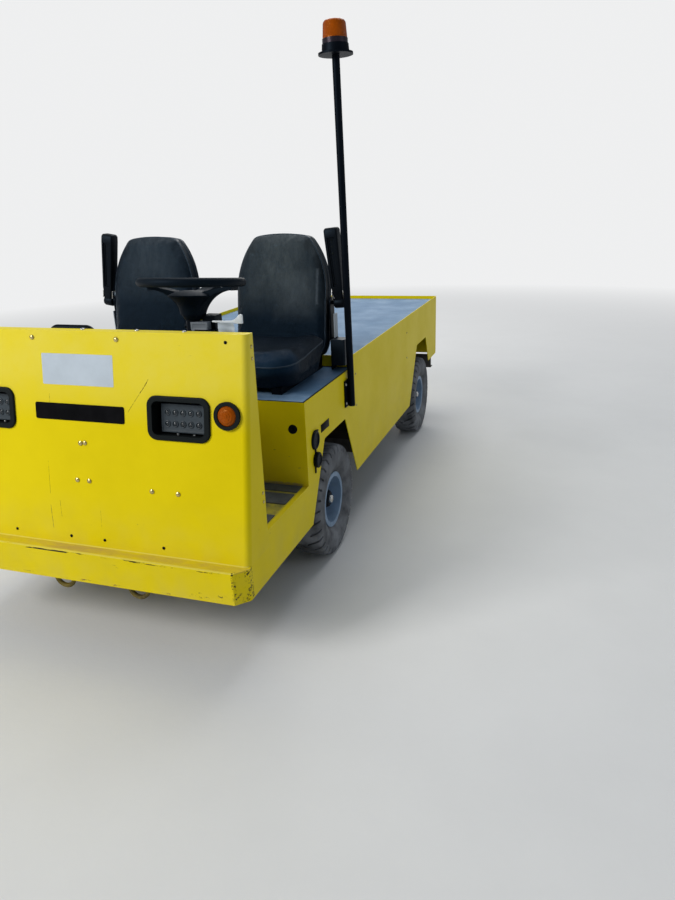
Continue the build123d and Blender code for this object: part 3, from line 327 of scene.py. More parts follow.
class Effects:
    """Shader groups that several finishes share, each built once."""

    def __init__(self) -> None:
        """Build the groups."""
        self.mottle = self._mottle()
        self.scuffs = self._scuffs()
        self.dust = self._dust()
        self.zone = self._zone()
        self.scratch = self._scratch()

    @staticmethod
    def _new(
        name: str, inputs: Sequence[tuple[str, str, object]], output: str
    ) -> tuple[Graph, Mapping[str, NodeSocket]]:
        """Start a group with named sockets.

        Args:
            name: The group's name.
            inputs: Name, kind (Vector or Float) and default of each input.
            output: Name of the one output, a value.

        Returns:
            The group's graph and its inputs by name.
        """
        tree = bpy.data.node_groups.new(name, "ShaderNodeTree")
        for label, kind, default in inputs:
            socket = tree.interface.new_socket(name=label, in_out="INPUT", socket_type=f"NodeSocket{kind}")
            if default is not None:
                socket.default_value = default
        tree.interface.new_socket(name=output, in_out="OUTPUT", socket_type="NodeSocketFloat")
        graph = Graph(tree)
        return graph, graph.node("NodeGroupInput").outputs

    @staticmethod
    def _end(graph: Graph, value: NodeSocket) -> NodeTree:
        """Join a value to the group's output and give the group."""
        graph.node("NodeGroupOutput", None, i0=value)
        return graph.tree

    def _mottle(self) -> NodeTree:
        """Slow uneven variation, from 0 to 1."""
        graph, given = self._new(
            "mottle", [("Vector", "Vector", None), ("Scale", "Float", 5.0), ("Detail", "Float", 5.0)], "Tone"
        )
        noise = graph.node(
            "TexNoise", None, Vector=given["Vector"], Scale=given["Scale"], Detail=given["Detail"], Roughness=0.6
        )
        return self._end(graph, graph.ramp(noise.outputs[0], 0.34, 0.66))

    def _scuffs(self) -> NodeTree:
        """Ragged marks, drawn out along the axes that Stretch makes small."""
        graph, given = self._new(
            "scuffs",
            [("Vector", "Vector", None), ("Scale", "Float", 30.0), ("Stretch", "Vector", (1.0, 1.0, 1.0)),
             ("Cut", "Float", 0.65), ("Gain", "Float", 26.0)],
            "Mask",
        )
        drawn = graph.vector("MULTIPLY", given["Vector"], given["Stretch"])
        noise = graph.node("TexNoise", None, Vector=drawn.outputs[0], Scale=given["Scale"], Detail=8.0, Roughness=0.72)
        over = graph.math("SUBTRACT", noise.outputs[0], given["Cut"])
        return self._end(graph, graph.math("MULTIPLY", over, given["Gain"], clamp=True))

    def _dust(self) -> NodeTree:
        """Dust that thickens downwards, broken up by noise."""
        graph, given = self._new(
            "dust_rise",
            [("Vector", "Vector", None), ("Low", "Float", 0.1), ("High", "Float", 0.6), ("Scale", "Float", 14.0)],
            "Mask",
        )
        height = graph.node("SeparateXYZ", None, i0=given["Vector"]).outputs[2]
        rise = graph.node("MapRange", {"clamp": True}, i0=height, i1=given["Low"], i2=given["High"], i3=1.0, i4=0.0)
        noise = graph.node("TexNoise", None, Vector=given["Vector"], Scale=given["Scale"], Detail=7.0)
        rough = graph.ramp(noise.outputs[0], 0.3, 0.7)
        return self._end(graph, graph.math("MULTIPLY", rise.outputs[0], rough, clamp=True))

    def _scratch(self) -> NodeTree:
        """One on a thin straight line between Start and End, ragged along it."""
        graph, given = self._new(
            "scratch_line",
            [("Vector", "Vector", None), ("Start", "Vector", (0.0, 0.0, 0.0)), ("End", "Vector", (0.0, 0.0, 1.0)),
             ("Width", "Float", 0.001)],
            "Mask",
        )
        offset = graph.vector("SUBTRACT", given["Vector"], given["Start"])
        run = graph.vector("SUBTRACT", given["End"], given["Start"])
        along = graph.vector("DOT_PRODUCT", offset.outputs[0], run.outputs[0])
        whole = graph.vector("DOT_PRODUCT", run.outputs[0], run.outputs[0])
        share = graph.math("DIVIDE", along.outputs["Value"], whole.outputs["Value"], clamp=True)
        reach = graph.vector("SCALE", run.outputs[0], Scale=share)
        away = graph.vector("DISTANCE", offset.outputs[0], reach.outputs[0])
        wave = graph.node("TexNoise", None, Vector=given["Vector"], Scale=140.0, Detail=3.0)
        width = graph.math("MULTIPLY", given["Width"], graph.ramp(wave.outputs[0], 0.25, 0.6))
        return self._end(graph, graph.math("LESS_THAN", away.outputs["Value"], width))

    def _zone(self) -> NodeTree:
        """One inside a box, fading to nothing over Soft outside it."""
        graph, given = self._new(
            "worn_zone",
            [("Vector", "Vector", None), ("Middle", "Vector", (0.0, 0.0, 0.0)), ("Half", "Vector", (1.0, 1.0, 1.0)),
             ("Soft", "Float", 0.02)],
            "Mask",
        )
        away = graph.vector("SUBTRACT", given["Vector"], given["Middle"])
        away = graph.vector("ABSOLUTE", away.outputs[0])
        away = graph.vector("SUBTRACT", away.outputs[0], given["Half"])
        split = graph.node("SeparateXYZ", None, i0=away.outputs[0])
        most = graph.math("MAXIMUM", split.outputs[0], split.outputs[1])
        most = graph.math("MAXIMUM", most, split.outputs[2])
        share = graph.math("DIVIDE", most, given["Soft"])
        return self._end(graph, graph.math("SUBTRACT", 1.0, share, clamp=True))


@dataclass(frozen=True)
class Wear:
    """A box, in model metres, where marks of one colour gather: real wear and dirt, and also painted light and shade.
    """

    low: Vector
    high: Vector
    colour: Colour
    soft: float = 0.02
    scale: float = 30.0
    stretch: Point = (1.0, 1.0, 1.0)
    cut: float = 0.5
    gain: float = 26.0
    share: float = 1.0


@dataclass(frozen=True)
class Scratch:
    """A thin line of one colour between two points, in model metres; lines serve for scratches and dirt streaks, and
    for painted shadow and highlight lines.
    """

    start: Vector
    end: Vector
    colour: Colour
    width: float = 0.0009


@dataclass(frozen=True)
class SurfaceFinish:
    """An opaque finish: its colour and slow tone, its close grain, its scuffs and painted light and shade, and its
    dust.
    """

    name: str
    colour: Colour
    tone: Colour
    grain: Grain = Grain.PEEL
    tone_scale: float = 4.0
    roughness: Pair = (0.3, 0.4)
    metallic: float = 0.0
    specular: float = 0.5
    gloss: Colour = (1.0, 1.0, 1.0)
    grain_scale: float = 500.0
    grain_depth: float = 0.0002
    dust_colour: Colour = (0.36, 0.32, 0.26)
    dust_band: Pair = (0.1, 0.6)
    dust_share: float = 0.0
    wear: tuple[Wear, ...] = ()
    scratches: tuple[Scratch, ...] = ()

    def material(self, effects: Effects) -> Material:
        """Build the material.

        Args:
            effects: The shared shader groups.

        Returns:
            The finished material.
        """
        made, graph, place = new_material(self.name)
        tone = graph.group(effects.mottle, Vector=place, Scale=self.tone_scale, Detail=5.0)
        colour = graph.blend(tone, self.colour, self.tone)
        low, high = self.roughness
        rough = graph.math("MULTIPLY_ADD", tone, high - low)
        rough.node.inputs[2].default_value = low
        for zone in self.wear:
            middle, half = (zone.low + zone.high) / 2, (zone.high - zone.low) / 2
            inside = graph.group(effects.zone, Vector=place, Middle=tuple(middle), Half=tuple(half), Soft=zone.soft)
            marks = graph.group(
                effects.scuffs, Vector=place, Scale=zone.scale, Stretch=zone.stretch, Cut=zone.cut, Gain=zone.gain
            )
            mask = graph.math("MULTIPLY", graph.math("MULTIPLY", inside, marks), zone.share)
            colour = graph.blend(mask, colour, zone.colour)
        for scratch in self.scratches:
            start, end = tuple(scratch.start), tuple(scratch.end)
            mask = graph.group(effects.scratch, Vector=place, Start=start, End=end, Width=scratch.width)
            colour = graph.blend(mask, colour, scratch.colour)
        if self.dust_share:
            low, high = self.dust_band
            settled = graph.group(effects.dust, Vector=place, Low=low, High=high, Scale=14.0)
            settled = graph.math("MULTIPLY", settled, self.dust_share)
            colour = graph.blend(settled, colour, self.dust_colour)
            rough = graph.math("ADD", rough, graph.math("MULTIPLY", settled, 0.4), clamp=True)
        height = self._grain(graph, place)
        bump = graph.node("Bump", None, Strength=1.0, Distance=self.grain_depth, Height=height)
        shader = graph.node(
            "BsdfPrincipled", None, Base_Color=colour, Roughness=rough, Metallic=self.metallic,
            Specular_IOR_Level=self.specular, Specular_Tint=(*self.gloss, 1.0), Normal=bump.outputs[0]
        )
        graph.node("OutputMaterial", None, i0=shader.outputs[0])
        return made

    def _grain(self, graph: Graph, place: NodeSocket) -> NodeSocket:
        """The height of the close grain.

        Args:
            graph: The material's graph.
            place: The object coordinates.

        Returns:
            A height from 0 to 1.
        """
        scale = self.grain_scale
        if self.grain is Grain.LEATHER:
            cells = graph.node("TexVoronoi", {"feature": "DISTANCE_TO_EDGE"}, Vector=place, Scale=scale)
            folds = graph.node("TexNoise", None, Vector=place, Scale=scale * 0.08, Detail=6.0, Roughness=0.65)
            pebble = graph.math("MULTIPLY", graph.ramp(cells.outputs["Distance"], 0.0, 0.25), 0.35)
            return graph.math("ADD", pebble, graph.math("MULTIPLY", folds.outputs[0], 1.6))
        if self.grain is Grain.GRIT:
            cells = graph.node("TexVoronoi", None, Vector=place, Scale=scale)
            return graph.math("SUBTRACT", 1.0, cells.outputs["Distance"], clamp=True)
        if self.grain is Grain.BRUSHED:
            drawn = graph.vector("MULTIPLY", place, (0.04, 1.0, 1.0))
            return graph.node("TexNoise", None, Vector=drawn.outputs[0], Scale=scale, Detail=3.0).outputs[0]
        detail = 2.0 if self.grain is Grain.PEEL else 6.0
        return graph.node("TexNoise", None, Vector=place, Scale=scale, Detail=detail).outputs[0]


@dataclass(frozen=True)
class LensFinish:
    """A clear or coloured lens."""

    name: str
    colour: Colour
    transmission: float = 0.9
    roughness: float = 0.08
    gloss: Colour = (1.0, 1.0, 1.0)
    ripple: float = 0.0002
    index: float = 1.45

    def material(self, effects: Effects) -> Material:
        """Build the material, with fine moulding marks in the surface.

        Args:
            effects: The shared shader groups.

        Returns:
            The finished material.
        """
        made, graph, place = new_material(self.name)
        tone = graph.group(effects.mottle, Vector=place, Scale=60.0, Detail=4.0)
        deep = tuple(0.8 * part for part in self.colour)
        colour = graph.blend(tone, self.colour, deep)
        ripple = graph.node("TexNoise", None, Vector=place, Scale=180.0, Detail=2.0)
        bump = graph.node("Bump", None, Strength=1.0, Distance=self.ripple, Height=ripple.outputs[0])
        shader = graph.node(
            "BsdfPrincipled", None, Base_Color=colour, Roughness=self.roughness, IOR=self.index,
            Transmission_Weight=self.transmission, Specular_Tint=(*self.gloss, 1.0), Normal=bump.outputs[0]
        )
        graph.node("OutputMaterial", None, i0=shader.outputs[0])
        return made


class Finish(Enum):
    """The finishes, by name."""

    YELLOW = "yellow_paint"
    BUMPER_YELLOW = "scuffed_bumper_paint"
    LOOP_YELLOW = "worn_loop_paint"
    BLACK = "black_paint"
    FRAME_BLACK = "frame_paint"
    CARGO_GREY = "cargo_deck_grip"
    SEAT_GREY = "seat_deck_grip"
    RIM_GREY = "rim_paint"
    PLASTIC = "moulded_plastic"
    HELM_PLASTIC = "helm_plastic"
    VINYL = "black_vinyl"
    PIPING = "vinyl_piping"
    MAT = "ribbed_mat"
    TYRE = "dusty_rubber"
    STEEL = "worn_steel"
    BRIGHT = "bright_metal"
    MIRROR = "reflector"
    STICKER = "white_sticker"
    PLATE = "blank_plate"
    STRAP = "belt_and_strap"
    HOUSING = "switch_housing"
    CASE = "battery_case"
    SMOKED = "smoked_lens"
    AMBER = "amber_lens"
    RED = "red_lens"
    BEAD = "lamp_bead"
    RUBBER = "rubber_surround"
    BRASS = "brass_bolt"
    LAMP_GREY = "lamp_face_grey"
    LEVER = "white_lever"


class Shop:
    """The finishes and their materials."""

    def __init__(self, site: VehicleFrame) -> None:
        """Build every material once.

        Args:
            site: The vehicle's frame, which places the zones of wear and of painted light and shade.
        """
        self.site = site
        self.effects = Effects()
        finishes = {finish.name: finish for finish in (*self._surfaces(), *self._lenses())}
        self.materials = {finish: finishes[finish.value].material(self.effects) for finish in Finish}

    def _wear(self, low: Point, high: Point, colour: Colour, **marks: object) -> Wear:
        """A zone between two corners in vehicle millimetres, for real wear and dirt and for painted light and shade."""
        return Wear(self.site.point(*low), self.site.point(*high), colour, **marks)

    def _scratch(self, start: Point, end: Point, colour: Colour, width: float = 0.0009) -> Scratch:
        """A thin line between two points in vehicle millimetres, for scratches and for painted shadow and highlight
        lines.
        """
        return Scratch(self.site.point(*start), self.site.point(*end), colour, width)

    def _surfaces(self) -> list[SurfaceFinish]:
        """The opaque finishes."""
        yellow, deep_yellow = (0.76, 0.605, 0.004), (0.71, 0.56, 0.003)
        grime, rust = (0.06, 0.05, 0.035), (0.2, 0.09, 0.03)
        shadow, pale, tan = (0.12, 0.09, 0.01), (0.82, 0.74, 0.16), (0.5, 0.34, 0.1)
        black = (0.015, 0.013, 0.012)
        wear, scratch = self._wear, self._scratch
        body_wear_and_painted_light = (
            wear((-600, 30, 372), (600, 200, 470), grime, soft=0.05, scale=60, stretch=(0.4, 1, 1.6), cut=0.68),
            wear((-600, 100, 400), (600, 3040, 800), grime, soft=0.02, scale=34, stretch=(1, 0.3, 2), cut=0.74),
            wear((560, 195, 405), (595, 560, 428), grime, soft=0.006, scale=70, stretch=(1, 0.4, 1), cut=0.64),
            wear((440, 560, 470), (560, 575, 560), grime, soft=0.02, scale=30, stretch=(0.5, 1, 2.2), cut=0.62),
            wear((-600, 2300, 400), (600, 3040, 440), rust, soft=0.02, scale=60, cut=0.7),
            wear((584, -5, 380), (594, 200, 1050), grime, soft=0.004, scale=80, stretch=(1, 1, 0.5), cut=0.68),
            wear((330, 120, 1000), (500, 160, 1015), shadow, soft=0.02, scale=50, stretch=(0.4, 1, 3), cut=0.64),
            wear((-560, 225, 410), (560, 560, 421), (0.085, 0.1, 0.058), soft=0.012, scale=16, cut=0.14, gain=2.2,
                 share=0.85),
            # Painted highlight: a pale yellow line along the cowl's foot.
            wear((-590, 40, 366), (590, 52, 369), pale, soft=0.001, scale=12, stretch=(0.2, 1, 1), cut=0.42,
                 share=0.6),
            # Painted shade: the yellow paint inside the body, under the decks and on the bulkheads, made near black.
            wear((-582, 582, 262), (582, 3010, 733), (0.012, 0.01, 0.008), soft=0.003, scale=1, cut=-2.0),
            wear((-560, 560, 420), (560, 572, 430), (0.3, 0.22, 0.14), soft=0.006, scale=40, cut=0.4, gain=6.0,
                 share=0.8),
            # Painted highlight: soft pale yellow patches over the cowl's upper face.
            wear((-590, 120, 930), (590, 200, 1070), (0.84, 0.74, 0.16), soft=0.16, scale=8, cut=0.1, gain=1.4,
                 share=0.5),
        )
        body_scratches_and_painted_lines = (
            scratch((258, 134, 918), (243, 131, 895), shadow, 0.0017),
            scratch((243, 131, 895), (228, 127, 877), shadow, 0.0015),
            scratch((228, 127, 877), (182, 118, 817), shadow, 0.0008),
            scratch((-136, 66, 492), (-130, 54, 415), grime),
            scratch((-134, 90, 640), (-134, 72, 530), shadow, 0.0006),
            scratch((-97, 69, 510), (-93, 60, 450), shadow, 0.0007),
            scratch((-112, 125, 860), (-112, 118, 815), shadow, 0.0008),
            scratch((60, 68, 505), (62, 56, 430), shadow, 0.0005),
            # Painted highlight: a pale line down the fold at the cowl's driver-side edge.
            scratch((582, 44, 368), (586, 155, 1050), pale, 0.0016),
        )
        bumper_wear_and_painted_light = (
            wear((-600, 10, 362), (600, 44, 372), tan, soft=0.003, scale=9, stretch=(0.35, 1, 1), cut=0.36, gain=4.0,
                 share=0.85),
            wear((-600, 2, 364), (600, 60, 372), rust, soft=0.003, scale=60, stretch=(0.25, 1, 1), cut=0.66),
            # Painted highlight: a pale line along the front edge of the bumper's ledge.
            wear((-600, -5, 363.5), (600, 7, 370), pale, soft=0.0008, scale=12, stretch=(0.2, 1, 1), cut=0.4,
                 share=0.6),
            wear((-600, -5, 357), (600, 4, 362), black, soft=0.0006, scale=46, stretch=(0.22, 1, 1.2), cut=0.52),
            wear((-600, -5, 240), (600, 200, 345), grime, soft=0.02, scale=24, stretch=(0.25, 1, 3), cut=0.74),
            wear((60, -5, 285), (150, 5, 330), shadow, soft=0.02, scale=26, stretch=(0.5, 1, 1.6), cut=0.62, share=0.5),
            wear((555, -5, 262), (600, 60, 366), black, soft=0.008, scale=90, cut=0.63),
            wear((549, -5, 262), (558, 14, 366), black, soft=0.002, scale=110, cut=0.53),
            wear((582, 20, 262), (600, 60, 366), black, soft=0.004, scale=110, cut=0.53),
            wear((555, -5, 262), (600, 60, 285), black, soft=0.01, scale=70, cut=0.55),
            wear((400, -5, 264), (560, 10, 284), black, soft=0.006, scale=70, stretch=(0.6, 1, 1.4), cut=0.6),
            wear((-600, -5, 262), (600, 3, 267), rust, soft=0.002, scale=50, stretch=(0.3, 1, 1), cut=0.6),
        )
        sky = (0.3, 0.36, 0.44)
        blue_gloss = (0.45, 0.7, 1.0)
        # Painted sheen on the black vinyl: soft lighter patches on both seat backs' upper parts and the driver's back's
        # lower right, a painted highlight line near the driver's back's outer edge, and a bluish painted reflection on
        # the driver's cushion's front roll.
        painted_sheen = {"stretch": (1.3, 1, 0.5), "cut": 0.02, "gain": 1.2}
        vinyl_painted_sheen = (
            wear((270, 1000, 1150), (350, 1300, 1270), (0.085, 0.098, 0.098), soft=0.19, scale=30, **painted_sheen),
            wear((372, 1000, 1035), (384, 1300, 1060), (0.09, 0.105, 0.115), soft=0.1, scale=34, share=0.6, **painted_sheen),
            wear((473, 1000, 1020), (474, 1300, 1150), (0.4, 0.47, 0.54), soft=0.007, scale=60, share=0.24, **painted_sheen),
            wear((-345, 1000, 1170), (-265, 1300, 1270), (0.045, 0.056, 0.066), soft=0.16, scale=30, **painted_sheen),
            wear((110, 620, 840), (505, 700, 880), (0.006, 0.026, 0.06), soft=0.03, scale=9, share=0.8, **painted_sheen),
        )
        # Painted shade: the rim paint made near black round each hub, where the deep-set rim is in shade.
        hub_painted_shade = tuple(
            wear((-600, station - 26, 209), (600, station + 26, 261), (0.012, 0.015, 0.02), soft=0.03, scale=1,
                 cut=-2.0)
            for station in (881, 2569)
        )
        return [
            SurfaceFinish("yellow_paint", yellow, deep_yellow, roughness=(0.42, 0.5), specular=0.13,
                          gloss=(1.0, 0.85, 0.15), grain_scale=260, grain_depth=0.0001, dust_band=(0.26, 0.56),
                          dust_share=0.14, wear=body_wear_and_painted_light, scratches=body_scratches_and_painted_lines),
            SurfaceFinish("scuffed_bumper_paint", yellow, deep_yellow, roughness=(0.44, 0.52), specular=0.13,
                          gloss=(1.0, 0.85, 0.15), grain_scale=260, grain_depth=0.00012, dust_band=(0.24, 0.4),
                          dust_share=0.16, wear=bumper_wear_and_painted_light),
            SurfaceFinish("worn_loop_paint", (0.26, 0.19, 0.01), (0.014, 0.012, 0.01), tone_scale=26,
                          roughness=(0.45, 0.7), specular=0.25, grain_scale=300, dust_band=(0.1, 0.3),
                          dust_share=0.15),
            SurfaceFinish("black_paint", (0.0015, 0.002, 0.004), (0.003, 0.004, 0.006), roughness=(0.4, 0.5),
                          specular=0.08, gloss=blue_gloss, grain_scale=700, grain_depth=0.00012),
            SurfaceFinish("frame_paint", (0.016, 0.015, 0.014), (0.03, 0.028, 0.025), tone_scale=12,
                          roughness=(0.5, 0.7), grain_scale=300, dust_band=(0.1, 0.8), dust_share=0.6,
                          dust_colour=(0.2, 0.18, 0.15)),
            # The cargo deck is grey grit; its blue tint is a painted sky reflection.
            SurfaceFinish("cargo_deck_grip", (0.165, 0.27, 0.41), (0.13, 0.22, 0.34), Grain.GRIT, tone_scale=7,
                          roughness=(0.6, 0.8), specular=0.3, grain_scale=420, grain_depth=0.0006,
                          dust_band=(0.7, 1.2), dust_share=0.12, dust_colour=(0.3, 0.34, 0.38)),
            # The seat deck is grey grit; its blue tint, its sky-blue dust and the lighter blue band along its front
            # edge are painted sky reflection.
            SurfaceFinish("seat_deck_grip", (0.085, 0.165, 0.28), (0.062, 0.125, 0.215), Grain.GRIT, tone_scale=7,
                          roughness=(0.6, 0.78), specular=0.15, gloss=blue_gloss, grain_scale=420,
                          grain_depth=0.0005, dust_band=(0.7, 1.2), dust_share=0.06, dust_colour=sky,
                          wear=(wear((-590, 560, 736), (590, 650, 746), (0.26, 0.4, 0.58), soft=0.05, scale=12,
                                     cut=0.2, gain=2.2, share=0.75),)),
            SurfaceFinish("rim_paint", (0.22, 0.32, 0.46), (0.16, 0.24, 0.35), tone_scale=22,
                          roughness=(0.35, 0.55), gloss=(0.7, 0.85, 1.0), grain_scale=300, dust_band=(0.0, 0.55),
                          dust_share=0.25, dust_colour=(0.22, 0.24, 0.27), wear=hub_painted_shade),
            SurfaceFinish("moulded_plastic", (0.0025, 0.003, 0.004), (0.005, 0.0055, 0.007), Grain.MOULDED,
                          roughness=(0.4, 0.54), specular=0.12, gloss=blue_gloss, grain_scale=900,
                          grain_depth=0.00025),
            SurfaceFinish("rubber_surround", (0.003, 0.004, 0.004), (0.006, 0.0075, 0.0075), Grain.MOULDED,
                          roughness=(0.5, 0.62), specular=0.12, gloss=(0.8, 0.95, 1.0), grain_scale=700,
                          grain_depth=0.0002),
            SurfaceFinish("helm_plastic", (0.002, 0.004, 0.007), (0.004, 0.007, 0.011), Grain.MOULDED,
                          roughness=(0.5, 0.62), specular=0.1, gloss=blue_gloss, grain_scale=1100,
                          grain_depth=0.0002),
            SurfaceFinish("black_vinyl", (0.0008, 0.002, 0.004), (0.002, 0.004, 0.008), Grain.LEATHER, tone_scale=9,
                          roughness=(0.32, 0.42), specular=0.18, gloss=(0.3, 0.62, 1.0), grain_scale=300,
                          grain_depth=0.0016, wear=vinyl_painted_sheen),
            # The welts are the same vinyl as the seats; their lighter colour is a painted highlight along the seams.
            SurfaceFinish("vinyl_piping", (0.01, 0.015, 0.021), (0.02, 0.027, 0.035), Grain.LEATHER,
                          roughness=(0.3, 0.4), specular=0.5, gloss=blue_gloss, grain_scale=700,
                          grain_depth=0.0004),
            SurfaceFinish("ribbed_mat", (0.07, 0.08, 0.085), (0.045, 0.052, 0.056), Grain.GRIT, tone_scale=16,
                          roughness=(0.6, 0.8), specular=0.3, grain_scale=300, grain_depth=0.0008,
                          dust_band=(0.2, 0.7), dust_share=0.4, dust_colour=(0.16, 0.16, 0.15)),
            SurfaceFinish("dusty_rubber", (0.05, 0.053, 0.058), (0.11, 0.115, 0.125), Grain.MOULDED, tone_scale=14,
                          roughness=(0.7, 0.88), specular=0.3, grain_scale=220, grain_depth=0.0012,
                          dust_band=(-0.2, 0.9), dust_share=0.9, dust_colour=(0.26, 0.27, 0.29)),
            SurfaceFinish("worn_steel", (0.3, 0.29, 0.28), (0.12, 0.1, 0.085), Grain.BRUSHED, tone_scale=20,
                          roughness=(0.35, 0.6), metallic=0.8, grain_scale=600, dust_band=(0.1, 0.5), dust_share=0.5,
                          dust_colour=(0.2, 0.18, 0.15)),
            SurfaceFinish("bright_metal", (0.62, 0.62, 0.6), (0.45, 0.44, 0.42), Grain.BRUSHED, tone_scale=60,
                          roughness=(0.22, 0.4), metallic=1.0, grain_scale=800),
            SurfaceFinish("brass_bolt", (0.62, 0.52, 0.22), (0.4, 0.32, 0.12), Grain.BRUSHED, tone_scale=90,
                          roughness=(0.2, 0.38), metallic=1.0, grain_scale=800),
            SurfaceFinish("reflector", (0.4, 0.43, 0.46), (0.3, 0.32, 0.35), tone_scale=80,
                          roughness=(0.12, 0.24), metallic=1.0, grain_scale=500, grain_depth=0.0001),
            SurfaceFinish("lamp_face_grey", (0.046, 0.06, 0.072), (0.036, 0.047, 0.056), Grain.MOULDED,
                          tone_scale=40, roughness=(0.4, 0.5), specular=0.2, grain_scale=600, grain_depth=0.0002),
            SurfaceFinish("lamp_bead", (0.012, 0.016, 0.02), (0.03, 0.038, 0.045), tone_scale=120,
                          roughness=(0.08, 0.16), grain_scale=300, grain_depth=0.0001),
            SurfaceFinish("white_sticker", (0.5, 0.57, 0.64), (0.46, 0.525, 0.59), tone_scale=16,
                          roughness=(0.5, 0.62), specular=0.3, grain_scale=160, grain_depth=0.0003,
                          dust_band=(0.7, 1.2), dust_share=0.06),
            SurfaceFinish("blank_plate", (0.003, 0.003, 0.0035), (0.006, 0.006, 0.007), tone_scale=20,
                          roughness=(0.34, 0.44), specular=0.02, grain_scale=300, grain_depth=0.0001),
            SurfaceFinish("belt_and_strap", (0.004, 0.006, 0.009), (0.008, 0.011, 0.015), Grain.MOULDED,
                          roughness=(0.4, 0.55), specular=0.25, gloss=blue_gloss, grain_scale=700,
                          wear=(wear((-640, 1050, 874), (640, 1150, 985), (0.3, 0.34, 0.38), soft=0.001, scale=1.0,
                                     cut=-2.0),)),
            SurfaceFinish("switch_housing", (0.16, 0.19, 0.22), (0.13, 0.15, 0.18), Grain.MOULDED,
                          roughness=(0.4, 0.55), grain_scale=900, grain_depth=0.0002),
            SurfaceFinish("white_lever", (0.86, 0.9, 0.93), (0.78, 0.83, 0.87), Grain.MOULDED,
                          roughness=(0.35, 0.5), grain_scale=900, grain_depth=0.0001),
            SurfaceFinish("battery_case", (0.03, 0.03, 0.032), (0.05, 0.05, 0.052), Grain.MOULDED,
                          roughness=(0.5, 0.7), grain_scale=200, dust_band=(0.3, 1.0), dust_share=0.5),
        ]

    @staticmethod
    def _lenses() -> list[LensFinish]:
        """The clear and coloured lenses."""
        return [
            LensFinish("smoked_lens", (0.02, 0.016, 0.022), 0.1, 0.3, (0.5, 0.4, 0.5)),
            LensFinish("amber_lens", (0.36, 0.068, 0.001), 0.1, 0.24, (1.0, 0.5, 0.14), 0.0009),
            LensFinish("red_lens", (0.5, 0.012, 0.01), 0.4, 0.15),
        ]

    def paint(self, piece: Object, finish: Finish) -> None:
        """Give a piece one finish all over.

        Args:
            piece: The object to paint.
            finish: The finish.
        """
        piece.data.materials.clear()
        piece.data.materials.append(self.materials[finish])


def faces_up(middle: Vector, normal: Vector) -> bool:
    """Whether a face looks along the local z axis."""
    return normal.z > 0.9


